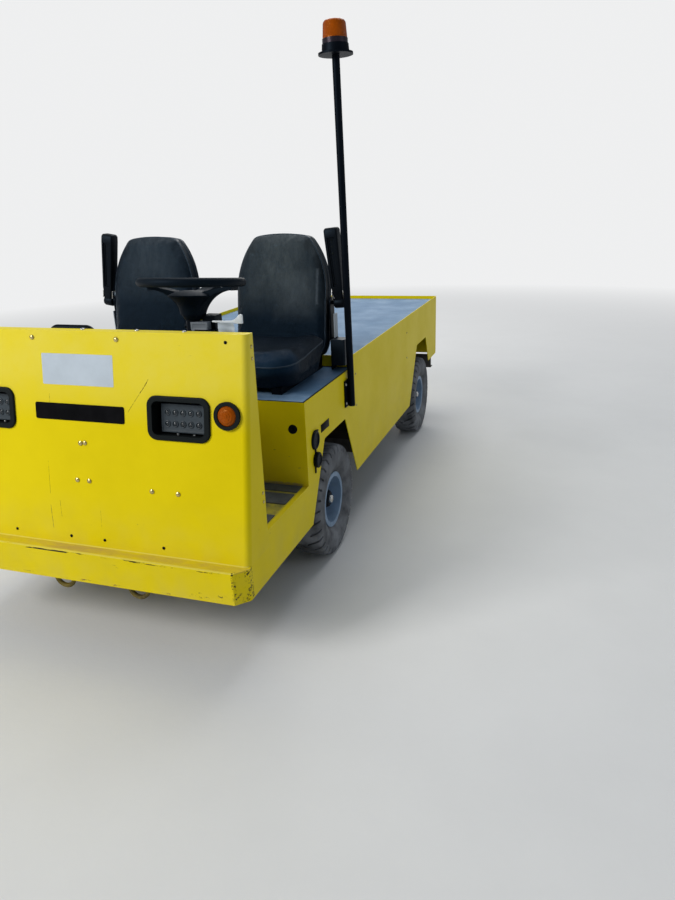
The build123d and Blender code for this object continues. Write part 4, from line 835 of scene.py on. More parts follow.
class Bench:
    """Modelling with operators, one clean selection at a time."""

    @staticmethod
    def take(*pieces: Object) -> None:
        """Select only these pieces, with the first active.

        Args:
            *pieces: The objects to select.
        """
        if bpy.context.mode != "OBJECT":
            bpy.ops.object.mode_set(mode="OBJECT")
        bpy.ops.object.select_all(action="DESELECT")
        for piece in pieces:
            piece.select_set(True)
        if pieces:
            bpy.context.view_layer.objects.active = pieces[0]

    @staticmethod
    @contextmanager
    def editing(piece: Object, mode: str = "FACE") -> Iterator[None]:
        """Hold a piece in edit mode with nothing selected.

        Args:
            piece: The mesh object to edit.
            mode: What is selected there: VERT, EDGE or FACE.

        Yields:
            Nothing.
        """
        Bench.take(piece)
        bpy.ops.object.mode_set(mode="EDIT")
        bpy.ops.mesh.select_mode(type=mode)
        bpy.ops.mesh.select_all(action="DESELECT")
        yield
        bpy.ops.object.mode_set(mode="OBJECT")

    @staticmethod
    def pick(piece: Object, test: FaceTest) -> None:
        """Select the faces that pass a test, in edit mode.

        Args:
            piece: The object being edited.
            test: Says of a face's middle and normal whether it is wanted.
        """
        mesh = bmesh.from_edit_mesh(piece.data)
        for face in [face for face in mesh.faces if test(face.calc_center_median(), face.normal)]:
            face.select_set(True)
        mesh.select_flush_mode()
        bmesh.update_edit_mesh(piece.data)

    @staticmethod
    def inset(*steps: Pair) -> None:
        """Inset the selected faces again and again, in edit mode.

        Args:
            *steps: Width and depth of each inset in millimetres.
        """
        for thickness, depth in steps:
            bpy.ops.mesh.inset(thickness=thickness * MM, depth=depth * MM)

    @staticmethod
    def lift(x: float, y: float, z: float) -> None:
        """Extrude the selected faces by an offset in millimetres, in edit mode."""
        bpy.ops.mesh.extrude_region_move(TRANSFORM_OT_translate={"value": (x * MM, y * MM, z * MM)})

    @staticmethod
    def thicken(x: float, y: float, z: float) -> None:
        """Extrude an open sheet by an offset in millimetres and turn its normals outward, in edit mode."""
        bpy.ops.mesh.select_all(action="SELECT")
        Bench.lift(x, y, z)
        bpy.ops.mesh.select_all(action="SELECT")
        bpy.ops.mesh.normals_make_consistent(inside=False)

    @staticmethod
    def cylinder(radius: float, low: float, high: float, corners: int) -> Object:
        """Add a cylinder on the local z axis, in millimetres.

        Args:
            radius: Its radius.
            low: Its lower end.
            high: Its upper end.
            corners: How many sides it has.

        Returns:
            The new object.
        """
        Bench.take()
        bpy.ops.mesh.primitive_cylinder_add(
            vertices=corners, radius=radius * MM, depth=(high - low) * MM, location=(0, 0, (high + low) / 2 * MM)
        )
        made = bpy.context.active_object
        bpy.ops.object.transform_apply(location=True, rotation=True, scale=True)
        return made

    @staticmethod
    def block(size: Point, middle: Point) -> Object:
        """Add a block in millimetres.

        Args:
            size: Its size along each axis.
            middle: Its middle.

        Returns:
            The new object.
        """
        Bench.take()
        bpy.ops.mesh.primitive_cube_add(size=1, location=[part * MM for part in middle])
        made = bpy.context.active_object
        made.scale = [part * MM for part in size]
        bpy.ops.object.transform_apply(location=True, rotation=True, scale=True)
        return made

    @staticmethod
    def sheet(left: float, right: float, low: float, high: float) -> Object:
        """Add a flat rectangle on the local ground plane, between four edges in millimetres."""
        Bench.take()
        bpy.ops.mesh.primitive_plane_add(size=1)
        made = bpy.context.active_object
        made.scale = ((right - left) * MM, (high - low) * MM, 1)
        made.location = ((right + left) / 2 * MM, (high + low) / 2 * MM, 0)
        bpy.ops.object.transform_apply(location=True, rotation=True, scale=True)
        return made

    @staticmethod
    def shaped(shape: Callable[[float, float, float], Point]) -> Object:
        """Add a finely divided cube and move each of its points.

        Args:
            shape: Gives a point in millimetres for cube coordinates from -1 to 1.

        Returns:
            The new object.
        """
        Bench.take()
        bpy.ops.mesh.primitive_cube_add(size=2)
        made = bpy.context.active_object
        with Bench.editing(made):
            bpy.ops.mesh.select_all(action="SELECT")
            bpy.ops.mesh.subdivide(number_cuts=29)
        for vertex in made.data.vertices:
            vertex.co = Vector(shape(*vertex.co)) * MM
        return made

    @staticmethod
    def lathe(profile: Sequence[Pair], steps: int, smooth: float = 0) -> Object:
        """Spin a closed profile about the local z axis.

        Args:
            profile: Radius and height pairs in millimetres.
            steps: How many steps a full turn takes.
            smooth: The angle, in degrees, under which edges are shaded smooth.

        Returns:
            The new object.
        """
        Bench.take()
        bpy.ops.mesh.primitive_circle_add(vertices=len(profile), radius=1, fill_type="NOTHING")
        made = bpy.context.active_object
        for vertex, (radius, height) in zip(made.data.vertices, profile):
            vertex.co = (radius * MM, 0, height * MM)
        with Bench.editing(made, "EDGE"):
            bpy.ops.mesh.select_all(action="SELECT")
            bpy.ops.mesh.spin(steps=steps, angle=FULL_TURN, center=(0, 0, 0), axis=(0, 0, 1))
            bpy.ops.mesh.select_all(action="SELECT")
            bpy.ops.mesh.remove_doubles(threshold=0.00001)
            bpy.ops.mesh.normals_make_consistent(inside=False)
        if smooth:
            Bench.smooth(made, smooth)
        return made

    @staticmethod
    def smooth(piece: Object, angle: float) -> None:
        """Shade a piece smooth, apart from edges over an angle in degrees."""
        Bench.take(piece)
        bpy.ops.object.shade_smooth_by_angle(angle=math.radians(angle))

    @staticmethod
    def modify(piece: Object, kind: str, **settings: object) -> None:
        """Add a modifier to a piece and apply it.

        Args:
            piece: The object.
            kind: The modifier's kind.
            **settings: Its properties.
        """
        Bench.take(piece)
        added = piece.modifiers.new(kind.lower(), kind)
        for key, value in settings.items():
            setattr(added, key, value)
        bpy.ops.object.modifier_apply(modifier=added.name)

    @staticmethod
    def soften(piece: Object, width: float, segments: int = 2, angle: float = 40) -> None:
        """Round a piece's sharp edges and shade it smooth.

        Args:
            piece: The object.
            width: The rounding's width in millimetres.
            segments: Faces across the rounding.
            angle: The least angle, in degrees, that counts as sharp.
        """
        sharp = math.radians(angle)
        Bench.modify(piece, "BEVEL", width=width * MM, segments=segments, limit_method="ANGLE", angle_limit=sharp)
        Bench.smooth(piece, 38)

    @staticmethod
    def scatter(piece: Object, places: Iterable[Matrix]) -> Object:
        """Copy a piece to many places and join the copies.

        Args:
            piece: The object to copy, which goes.
            places: Where the copies go.

        Returns:
            The joined object.
        """
        copies = []
        for place in places:
            copied = Bench.twin(piece)
            copied.data.transform(place)
            copies.append(copied)
        bpy.data.objects.remove(piece)
        return Bench.join(*copies)

    @staticmethod
    def twin(piece: Object) -> Object:
        """Copy a piece, with a mesh of its own."""
        copied = piece.copy()
        copied.data = piece.data.copy()
        bpy.context.scene.collection.objects.link(copied)
        return copied

    @staticmethod
    def join(*pieces: Object) -> Object:
        """Join pieces into the first."""
        Bench.take(*pieces)
        if len(pieces) > 1:
            bpy.ops.object.join()
        return pieces[0]

    @staticmethod
    def settle(piece: Object, place: Matrix) -> Object:
        """Move a piece's mesh to a place, with its object left at the origin."""
        piece.data.transform(place)
        piece.data.update()
        return piece

    @staticmethod
    def tube(points: Sequence[Vector], radius: float, closed: bool = False) -> Object:
        """Make a smooth round tube through points, as a mesh.

        Args:
            points: Its centreline in model metres.
            radius: Its radius in millimetres.
            closed: Whether its ends meet.

        Returns:
            The new object.
        """
        Bench.take()
        curve = bpy.data.curves.new("tube", "CURVE")
        curve.dimensions = "3D"
        curve.bevel_depth = radius * MM
        curve.bevel_resolution = 3
        curve.use_fill_caps = True
        spline = curve.splines.new("NURBS")
        spline.points.add(len(points) - 1)
        for knot, point in zip(spline.points, points):
            knot.co = (*point, 1.0)
        spline.order_u = 3
        spline.use_cyclic_u = closed
        spline.use_endpoint_u = not closed
        spline.resolution_u = 4
        made = bpy.data.objects.new("tube", curve)
        bpy.context.scene.collection.objects.link(made)
        Bench.take(made)
        bpy.ops.object.convert(target="MESH")
        return bpy.context.active_object


@dataclass
class Workshop:
    """What every sub-assembly is built with."""

    shop: Shop
    layouts: Layouts
    frame: dict

    def finish_piece(
        self, piece: Object, name: str, finish: Finish, body: str = "chassis",
        replaces: Sequence[str] = ()
    ) -> Object:
        """Name, paint and fasten a finished piece.

        Args:
            piece: The object.
            name: Its plain name.
            finish: Its finish.
            body: The CAD body that it rides on.
            replaces: CAD nodes that it stands for.

        Returns:
            The piece.
        """
        piece.name = name
        piece.data.name = name
        self.shop.paint(piece, finish)
        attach(piece, body)
        if replaces:
            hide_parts(*replaces)
        LOG.info("%s on %s, %d faces", name, body, len(piece.data.polygons))
        return piece


@dataclass
class FrameDress:
    """Finishes for the CAD nodes that stay."""

    finishes: dict[str, Finish] = field(default_factory=lambda: {
        "chassis_frame": Finish.FRAME_BLACK, "front_bumper": Finish.BUMPER_YELLOW, "front_cowl": Finish.YELLOW,
        "lamp_surrounds": Finish.RUBBER, "headlight_lamps": Finish.PLASTIC, "marker_lenses": Finish.AMBER,
        "footwell": Finish.YELLOW, "floor_mats": Finish.MAT, "side_panel_left": Finish.YELLOW,
        "side_panel_right": Finish.YELLOW, "seat_deck": Finish.SEAT_GREY, "bulkheads": Finish.YELLOW,
        "cargo_deck": Finish.CARGO_GREY, "deck_stringers": Finish.FRAME_BLACK, "tail_panel": Finish.YELLOW,
        "tail_lamps": Finish.RED, "dash_panel": Finish.BLACK, "steering_column": Finish.BLACK,
        "pedals": Finish.BLACK, "tie_down_loops": Finish.LOOP_YELLOW,
        "battery_pack": Finish.CASE, "front_axle": Finish.FRAME_BLACK, "rear_axle": Finish.FRAME_BLACK,
        "drive_motor": Finish.STEEL, "seat_frames": Finish.BLACK, "seat_belts": Finish.STRAP,
        "beacon_mast": Finish.BLACK, "beacon_lens": Finish.AMBER, "steering_wheel": Finish.HELM_PLASTIC,
        "pitman_arm": Finish.STEEL, "drag_link": Finish.STEEL, "knuckle_left": Finish.FRAME_BLACK,
        "knuckle_right": Finish.FRAME_BLACK, "tie_rod": Finish.STEEL, "rim_front_left": Finish.RIM_GREY,
        "rim_front_right": Finish.RIM_GREY, "rim_rear_left": Finish.RIM_GREY, "rim_rear_right": Finish.RIM_GREY,
    })

    def build(self, work: Workshop) -> None:
        """Paint each CAD node.

        Args:
            work: The shared tools.
        """
        for name, finish in self.finishes.items():
            work.shop.paint(work.frame["nodes"][name], finish)


@dataclass
class Bolts:
    """Small domed bolt heads on the sheet metal: each head is given by its radius and rise."""

    cowl_head: Pair = (7.8, 5.0)
    cowl_bolts: tuple[Pair, ...] = (
        (-164, 1035), (151, 1035), (-2, 707), (15, 709), (-22, 586), (24, 586), (257, 573), (350, 573),
    )
    dark_head: Pair = (5.0, 3.0)
    dark_bolts: tuple[Pair, ...] = ((522, 1035), (-283, 394), (-60, 394), (71, 394), (292, 394))
    flange_head: Pair = (6.5, 4.6)
    flange_bolts: tuple[float, ...] = (12, 210, 374)
    flange_y: float = 180
    flank_head: Pair = (5.5, 3.2)
    flank_bolts: tuple[Pair, ...] = (
        (178, 1020), (178, 985), (178, 560), (178, 530), (2160, 700), (2160, 560), (1180, 700), (1180, 560),
    )
    plate_head: Pair = (6.0, 4.0)
    plate_bolts: tuple[Pair, ...] = ((1023, 612), (1023, 692))
    plate_thickness: float = 6

    def _head(self, radius: float, rise: float) -> Object:
        """One domed head on the local z axis."""
        made = Bench.cylinder(radius, 0, rise * 0.5, 12)
        with Bench.editing(made):
            Bench.pick(made, faces_up)
            Bench.inset((radius * 0.25, rise * 0.3), (radius * 0.35, rise * 0.2))
        Bench.smooth(made, 50)
        return made

    def build(self, work: Workshop) -> None:
        """Build the cowl's, the flanks' and the mast plate's bolts.

        Args:
            work: The shared tools.
        """
        layouts = work.layouts
        cowl, left = layouts.cowl(), layouts.flank(Side.LEFT)
        flanks = [layouts.flank(side) @ shift(y * side.value, z, 0) for side in Side for y, z in self.flank_bolts]
        rows = (
            ("cowl_bolts", Finish.BRASS, None, self.cowl_head,
             [cowl @ shift(x, layouts.up_the_cowl(z), 0) for x, z in self.cowl_bolts]),
            ("dark_cowl_bolts", Finish.BLACK, "black_paint", self.dark_head,
             [cowl @ shift(x, layouts.up_the_cowl(z), 0) for x, z in self.dark_bolts]),
            ("cowl_flange_bolts", Finish.BRIGHT, "steel", self.flange_head,
             [layouts.floor(x, self.flange_y, layouts.cowl_top) for x in self.flange_bolts]),
            ("flank_bolts", Finish.BRASS, None, self.flank_head, flanks),
            ("mast_plate_bolts", Finish.BRIGHT, "steel", self.plate_head,
             [left @ shift(y, z, self.plate_thickness) for y, z in self.plate_bolts]),
        )
        for name, finish, slot, head, places in rows:
            work.finish_piece(Bench.scatter(self._head(*head), places), name, finish)


@dataclass
class CowlPlates:
    """The blank sticker and the blank name plate on the cowl."""

    sticker: tuple[float, ...] = (-132, 134, 890, 987, 0.5, 3)
    plate: tuple[float, ...] = (-168, 168, 778, 831, 2.0, 6)

    def _plate(self, work: Workshop, form: Sequence[float]) -> Object:
        """A thin rounded plate on the cowl's face.

        Args:
            work: The shared tools.
            form: Its left, right, low and high edges, its thickness and its corner radius.

        Returns:
            The plate.
        """
        left, right, low, high, thickness, corner = form
        made = Bench.sheet(left, right, work.layouts.up_the_cowl(low), work.layouts.up_the_cowl(high))
        with Bench.editing(made, "VERT"):
            bpy.ops.mesh.select_all(action="SELECT")
            bpy.ops.mesh.bevel(offset=corner * MM, segments=5, affect="VERTICES")
            Bench.thicken(0, 0, thickness)
        return made

    def build(self, work: Workshop) -> None:
        """Build the sticker and the plate with its thin raised border.

        Args:
            work: The shared tools.
        """
        cowl = work.layouts.cowl()
        sticker = self._plate(work, self.sticker)
        work.finish_piece(Bench.settle(sticker, cowl), "blank_sticker", Finish.STICKER)
        plate = self._plate(work, self.plate)
        with Bench.editing(plate):
            Bench.pick(plate, faces_up)
            Bench.inset((2.5, 0), (0.7, -0.5))
        work.finish_piece(Bench.settle(plate, cowl), "blank_name_plate", Finish.PLATE)


@dataclass
class HeadLamps:
    """The grey face of each headlight with its two rows of round beads, and the bracket's bolts."""

    middle: Pair = (361, 803)
    face: Pair = (150, 88)
    columns: int = 5
    rows: int = 2
    pitch: Pair = (27, 35)
    face_depth: float = 22
    frame_width: float = 5
    bracket: Pair = (-47, -6)
    bracket_bolts: tuple[float, ...] = (-21, 36)
    bead: Profile = ((0, 1.8), (3.5, 1.5), (6.2, 0.2), (7.6, -1.8), (0, -1.8))
    ring: Profile = ((7.4, -1.8), (7.6, 0.6), (9, 1.2), (10.6, 0.4), (11, -1.8))

    def _face(self) -> Object:
        """The face plate with its raised frame, facing local z."""
        plate = Bench.block((*self.face, 5), (0, 0, -2.5))
        with Bench.editing(plate):
            Bench.pick(plate, faces_up)
            Bench.inset((self.frame_width, 0), (1.2, -1.6))
        Bench.soften(plate, 0.8)
        return plate

    def build(self, work: Workshop) -> None:
        """Build the faces and beads of both lamps.

        Args:
            work: The shared tools.
        """
        layouts = work.layouts
        x, z = self.middle
        lamps = [layouts.cowl() @ shift(side.value * x, layouts.up_the_cowl(z), -self.face_depth) for side in Side]
        work.finish_piece(Bench.scatter(self._face(), lamps), "lamp_faces", Finish.LAMP_GREY)
        spots = [
            lamp @ shift((column - (self.columns - 1) / 2) * self.pitch[0], (row - 0.5) * self.pitch[1], 0)
            for lamp in lamps for column in range(self.columns) for row in range(self.rows)
        ]
        work.finish_piece(Bench.scatter(Bench.lathe(self.bead, 20, 50), spots), "lamp_beads", Finish.BEAD)
        work.finish_piece(Bench.scatter(Bench.lathe(self.ring, 24, 50), spots), "lamp_bead_rings", Finish.LAMP_GREY)
        bolt = Bench.cylinder(5, 0, 12, 6)
        Bench.soften(bolt, 0.6)
        turned = Matrix.Rotation(math.radians(-90), 4, "X")
        spots = [lamp @ shift(x, *self.bracket) @ turned.inverted() for lamp in lamps for x in self.bracket_bolts]
        work.finish_piece(Bench.scatter(bolt, spots), "lamp_bracket_bolts", Finish.BRIGHT)


@dataclass
class MarkerLamps:
    """Ribbed domes of the two amber marker lamps."""

    middle: Pair = (525, 824)
    dome: Profile = (
        (0, 17.5), (6, 17.2), (7, 16.2), (13, 15.8), (14, 14.6), (20, 13.6), (21, 12.2), (26, 10.2), (28.5, 7.5),
        (30.5, 5.5), (30.8, -4), (27, -5), (0, -5),
    )

    def build(self, work: Workshop) -> None:
        """Build both domes in place of the plain lenses.

        Args:
            work: The shared tools.
        """
        x, z = self.middle
        up = work.layouts.up_the_cowl(z)
        places = [work.layouts.cowl() @ shift(side.value * x, up, 0) for side in Side]
        domes = Bench.scatter(Bench.lathe(self.dome, 40, 35), places)
        work.finish_piece(domes, "marker_lamp_domes", Finish.AMBER, replaces=["marker_lenses"])


@dataclass
class Beacon:
    """The beacon's ribbed lens with its smoked foot and the lamp inside."""

    lens_foot: float = 1305 + 7 + 27
    lens_height: float = 77
    ribs: int = 36
    rib_depth: float = 0.012

    def build(self, work: Workshop) -> None:
        """Build the lens, the smoked band and the reflector inside.

        Args:
            work: The shared tools.
        """
        mast = work.layouts.mast()
        foot = self.lens_foot
        top = foot + self.lens_height
        lens = Bench.lathe(
            [(0, top), (30, top - 1), (37, top - 4), (40.5, top - 11), (43.5, foot + 22), (44.5, foot + 21),
             (44.5, foot + 18), (40, foot + 18), (37.5, top - 12), (35, top - 7), (29, top - 4), (0, top - 3)],
            72,
        )
        for vertex in lens.data.vertices:
            radius = math.hypot(vertex.co.x, vertex.co.y)
            if radius > 39.5 * MM and foot + 22 <= vertex.co.z / MM + 0.01 < top - 8:
                turn = math.atan2(vertex.co.y, vertex.co.x)
                scale = 1 + self.rib_depth * math.cos(turn * self.ribs)
                vertex.co.x *= scale
                vertex.co.y *= scale
        Bench.smooth(lens, 50)
        work.finish_piece(
            Bench.settle(lens, mast), "beacon_dome", Finish.AMBER, replaces=["beacon_lens"]
        )
        band = Bench.lathe([(46, foot), (46, foot + 17), (44.5, foot + 18), (41, foot + 18), (41, foot)], 72, 50)
        work.finish_piece(Bench.settle(band, mast), "beacon_smoked_band", Finish.SMOKED)
        lamp = Bench.lathe([(0, foot + 52), (9, foot + 50), (11, foot + 40), (11, foot + 16), (30, foot + 12),
                            (36, foot + 0.5), (0, foot + 0.5)], 40, 40)
        work.finish_piece(Bench.settle(lamp, mast), "beacon_lamp", Finish.MIRROR)


@dataclass
class Wheels:
    """Block-tread tyres, and the black hub covers that stand for the shade deep in the rims, bright caps and nuts on
    the rims.
    """

    pitches: int = 32
    steps_per_pitch: int = 5
    groove_depth: float = 10
    tread_radius: float = 235
    tread_foot: float = 205
    tread_band: Pair = (4, 69)
    short_groove_inner: float = 27
    lug_foot: float = 200
    lug_edge: float = 58
    lug_slope: float = 0.62
    stations: tuple[tuple[str, float], ...] = (("front", 881), ("rear", 2569))
    nut_circle: float = 58
    nuts: int = 5
    nut: Point = (9.5, 9, 6)
    hub_face: float = 38
    section: Profile = (
        (235, 5), (234.8, 16), (234.2, 28), (233.2, 40), (231.8, 51), (229, 60), (222, 65), (213, 67.4), (203, 68.8),
        (194, 69.6), (176, 70), (158, 68), (142, 64.5), (139, 62.5), (130, 56), (121, 51), (117, 49), (103, 47.8),
        (102, 30),
    )

    def _tyre(self) -> Object:
        """One tyre on the local z axis, with its tread cut."""
        steps = self.pitches * self.steps_per_pitch
        made = Bench.lathe([(radius, -width) for radius, width in reversed(self.section)] + list(self.section), steps)
        step = FULL_TURN / steps

        def groove(middle: Vector, normal: Vector) -> bool:
            """Whether a tread face lies in a cross groove."""
            width = middle.z / MM
            radius = math.hypot(middle.x, middle.y) / MM
            if radius < self.tread_foot or not self.tread_band[0] < abs(width) < self.tread_band[1]:
                return False
            index = int(math.floor(math.atan2(middle.y, middle.x) / step + 1e-4)) % steps
            start = 0 if width > 0 else 2
            long_groove = (index // self.steps_per_pitch) % 2 == 0
            return index % self.steps_per_pitch == start and (long_groove or abs(width) > self.short_groove_inner)

        with Bench.editing(made):
            Bench.pick(made, groove)
            bpy.ops.mesh.extrude_region_shrink_fatten(TRANSFORM_OT_shrink_fatten={"value": -self.groove_depth * MM})
        for vertex in made.data.vertices:
            width = abs(vertex.co.z / MM)
            radius = math.hypot(vertex.co.x, vertex.co.y) / MM
            if radius > self.lug_foot and width < self.lug_edge:
                lag = self.lug_slope * (self.lug_edge - width) / self.tread_radius
                turn = math.atan2(vertex.co.y, vertex.co.x) + lag
                vertex.co.x = radius * MM * math.cos(turn)
                vertex.co.y = radius * MM * math.sin(turn)
        Bench.soften(made, 1.6, 1, 48)
        return made

    def build(self, work: Workshop) -> None:
        """Build four tyres in place of the plain ones, and what sits on the rims.

        Args:
            work: The shared tools.
        """
        tyre = self._tyre()
        radius, height, dome = self.nut
        nut = Bench.cylinder(radius, 0, height, 6)
        with Bench.editing(nut):
            Bench.pick(nut, faces_up)
            Bench.inset((4, 0))
            Bench.lift(0, 0, dome)
        Bench.soften(nut, 0.8)
        face = self.hub_face
        cap = Bench.lathe([(0, face + 12), (9, face + 11), (16, face + 8), (18, face + 3), (18, face - 2),
                           (0, face - 2)], 32, 40)
        # The black cover is a dark piece set in the hub, standing for the shade deep in the rim.
        shade_cover = Bench.lathe([(0, face), (24, face), (32, face - 3), (37, face - 11), (39.5, face - 26),
                             (42, face - 38), (45, face - 46), (0, face - 46)], 40, 40)
        here = [Matrix()]
        ring = [
            Matrix.Rotation(FULL_TURN * index / self.nuts, 4, "Z") @ shift(self.nut_circle, 0, -height)
            for index in range(self.nuts)
        ]
        rows = (
            ("treaded_tyre", tyre, here, Finish.TYRE, "tyre_rubber"), ("hub_cap", cap, here, Finish.BRIGHT, "steel"),
            ("hub_cover", shade_cover, here, Finish.BLACK, "steel"), ("wheel_nuts", nut, ring, Finish.STEEL, "steel"),
        )
        for end, station in self.stations:
            for side in Side:
                spot = f"{end}_{side.word}"
                place = work.layouts.wheel(side, station)
                for word, spare, turns, finish, slot in rows:
                    laid = Bench.scatter(Bench.twin(spare), [place @ turn for turn in turns])
                    stands_for = [f"tyre_{spot}"] if spare is tyre else []
                    work.finish_piece(laid, f"{word}_{spot}", finish, f"wheel_{spot}", stands_for)
        for _, spare, *_ in rows:
            bpy.data.objects.remove(spare)


@dataclass
class PaddedForm:
    """Stuffs a closed form: how finely it is meshed, and how far and how fast it swells."""

    voxel: float = 6.0
    cap: float = 9.0
    pressure: float = 4.0
    frames: int = 20

    def inflate(self, made: Object, pinned: Callable[[Vector], float]) -> None:
        """Swell a closed mesh with the cloth solver, cap how far it moves and smooth it.

        Args:
            made: The closed mesh.
            pinned: Says of a rest point how much of its movement is kept, from 0 to 1.
        """
        Bench.modify(made, "REMESH", mode="VOXEL", voxel_size=self.voxel * MM)
        rest = [vertex.co.copy() for vertex in made.data.vertices]
        cloth = made.modifiers.new("cloth", "CLOTH")
        cloth.settings.use_pressure = True
        cloth.settings.uniform_pressure_force = self.pressure
        cloth.settings.effector_weights.gravity = 0
        scene = bpy.context.scene
        for frame in range(1, self.frames + 1):
            scene.frame_set(frame)
        bpy.ops.object.modifier_apply(modifier=cloth.name)
        scene.frame_set(1)
        cap = self.cap * MM
        for vertex, start in zip(made.data.vertices, rest):
            moved = vertex.co - start
            if moved.length > cap:
                moved *= cap / moved.length
            vertex.co = start + moved * pinned(start)
        Bench.modify(made, "SMOOTH", factor=0.5, iterations=3)
        Bench.modify(made, "SUBSURF", levels=1, render_levels=1)
        bpy.ops.object.shade_smooth()


def rounded_reach(angle: float, half: Pair, corner: float) -> float:
    """How far a rounded rectangle reaches from its middle in one direction.

    Args:
        angle: The direction.
        half: Its half sizes.
        corner: Its corner radius.

    Returns:
        The distance to its edge.
    """
    c, s = abs(math.cos(angle)), abs(math.sin(angle))
    straight = min(half[0] / c if c > 1e-9 else 1e9, half[1] / s if s > 1e-9 else 1e9)
    x, y = straight * c, straight * s
    if x <= half[0] - corner or y <= half[1] - corner:
        return straight
    px, py = half[0] - corner, half[1] - corner
    along = px * c + py * s
    return along + math.sqrt(max(along * along - (px * px + py * py - corner * corner), 0))


def eased(value: float) -> float:
    """A share from 0 to 1, clamped and eased at both ends."""
    value = max(0.0, min(1.0, value))
    return value * value * (3 - 2 * value)


@dataclass
class SeatCushion:
    """The seat cushion: a pad on a pan that flares up to its seam, rolled over at the front and sides."""

    foot_half: Pair = (198, 170)
    flare: float = 25
    low: float = 766
    seam_front: float = 850
    seam_rear: float = 889
    middle_y: float = 816
    front_corner: float = 96
    rear_corner: float = 40
    roll: float = 0.26
    least_lift: float = 5
    front_lift: float = 27
    front_ease: float = 1.2
    side_lift: float = 15
    side_start: float = 0.35
    side_ease: float = 1.5
    dish: float = 8
    seam_points: int = 72
    seam_clear: float = 5

    def reach(self, angle: float, height: float) -> float:
        """How far the pan reaches from its middle.

        Args:
            angle: The direction, with the rear at a quarter turn.
            height: Share of the way up from the foot to the seam.

        Returns:
            The distance in millimetres.
        """
        half = tuple(size + self.flare * height for size in self.foot_half)
        corner = self.front_corner if math.sin(angle) < 0 else self.rear_corner
        return rounded_reach(angle, half, corner)

    def seam_height(self, y: float) -> float:
        """The seam's height above the cushion's foot at a place behind its middle."""
        slope = (self.seam_rear - self.seam_front) / (2 * (self.foot_half[1] + self.flare))
        return (self.seam_front + self.seam_rear) / 2 - self.low + slope * y

    def _shape(self, across: float, along: float, up: float) -> Point:
        """Where a point of the cube goes.

        Args:
            across: Cube coordinate across the seat, from -1 to 1.
            along: Cube coordinate from front to rear, from -1 to 1.
            up: Cube coordinate from bottom to top, from -1 to 1.

        Returns:
            The point in millimetres about the cushion's middle, with height above its foot.
        """
        height = (up + 1) / 2
        angle = math.atan2(along * self.foot_half[1], across * self.foot_half[0])
        share = max(abs(across), abs(along))
        distance = self.reach(angle, height) * share
        x, y = distance * math.cos(angle), distance * math.sin(angle)
        rolled = min(1.0, (1 - share) / self.roll)
        rise = math.sqrt(1 - (1 - rolled) ** 2)
        lift = self.least_lift + (self.front_lift - self.least_lift) * eased(-along * self.front_ease)
        lift += self.side_lift * eased((abs(across) - self.side_start) * self.side_ease)
        crown = self.seam_height(y) + rise * lift - self.dish * (1 - eased(share / (1 - self.roll)))
        return x, y, height * crown

    def form(self) -> Object:
        """The cushion before it is stuffed."""
        return Bench.shaped(self._shape)

    def seam(self) -> list[Vector]:
        """The seam's line round the cushion, in the cushion's frame."""
        line = []
        for index in range(self.seam_points):
            angle = FULL_TURN * index / self.seam_points
            reach = self.reach(angle, 1.0) + self.seam_clear
            x, y = reach * math.cos(angle), reach * math.sin(angle)
            line.append(Vector((x, y, self.seam_height(y) - 2)) * MM)
        return line


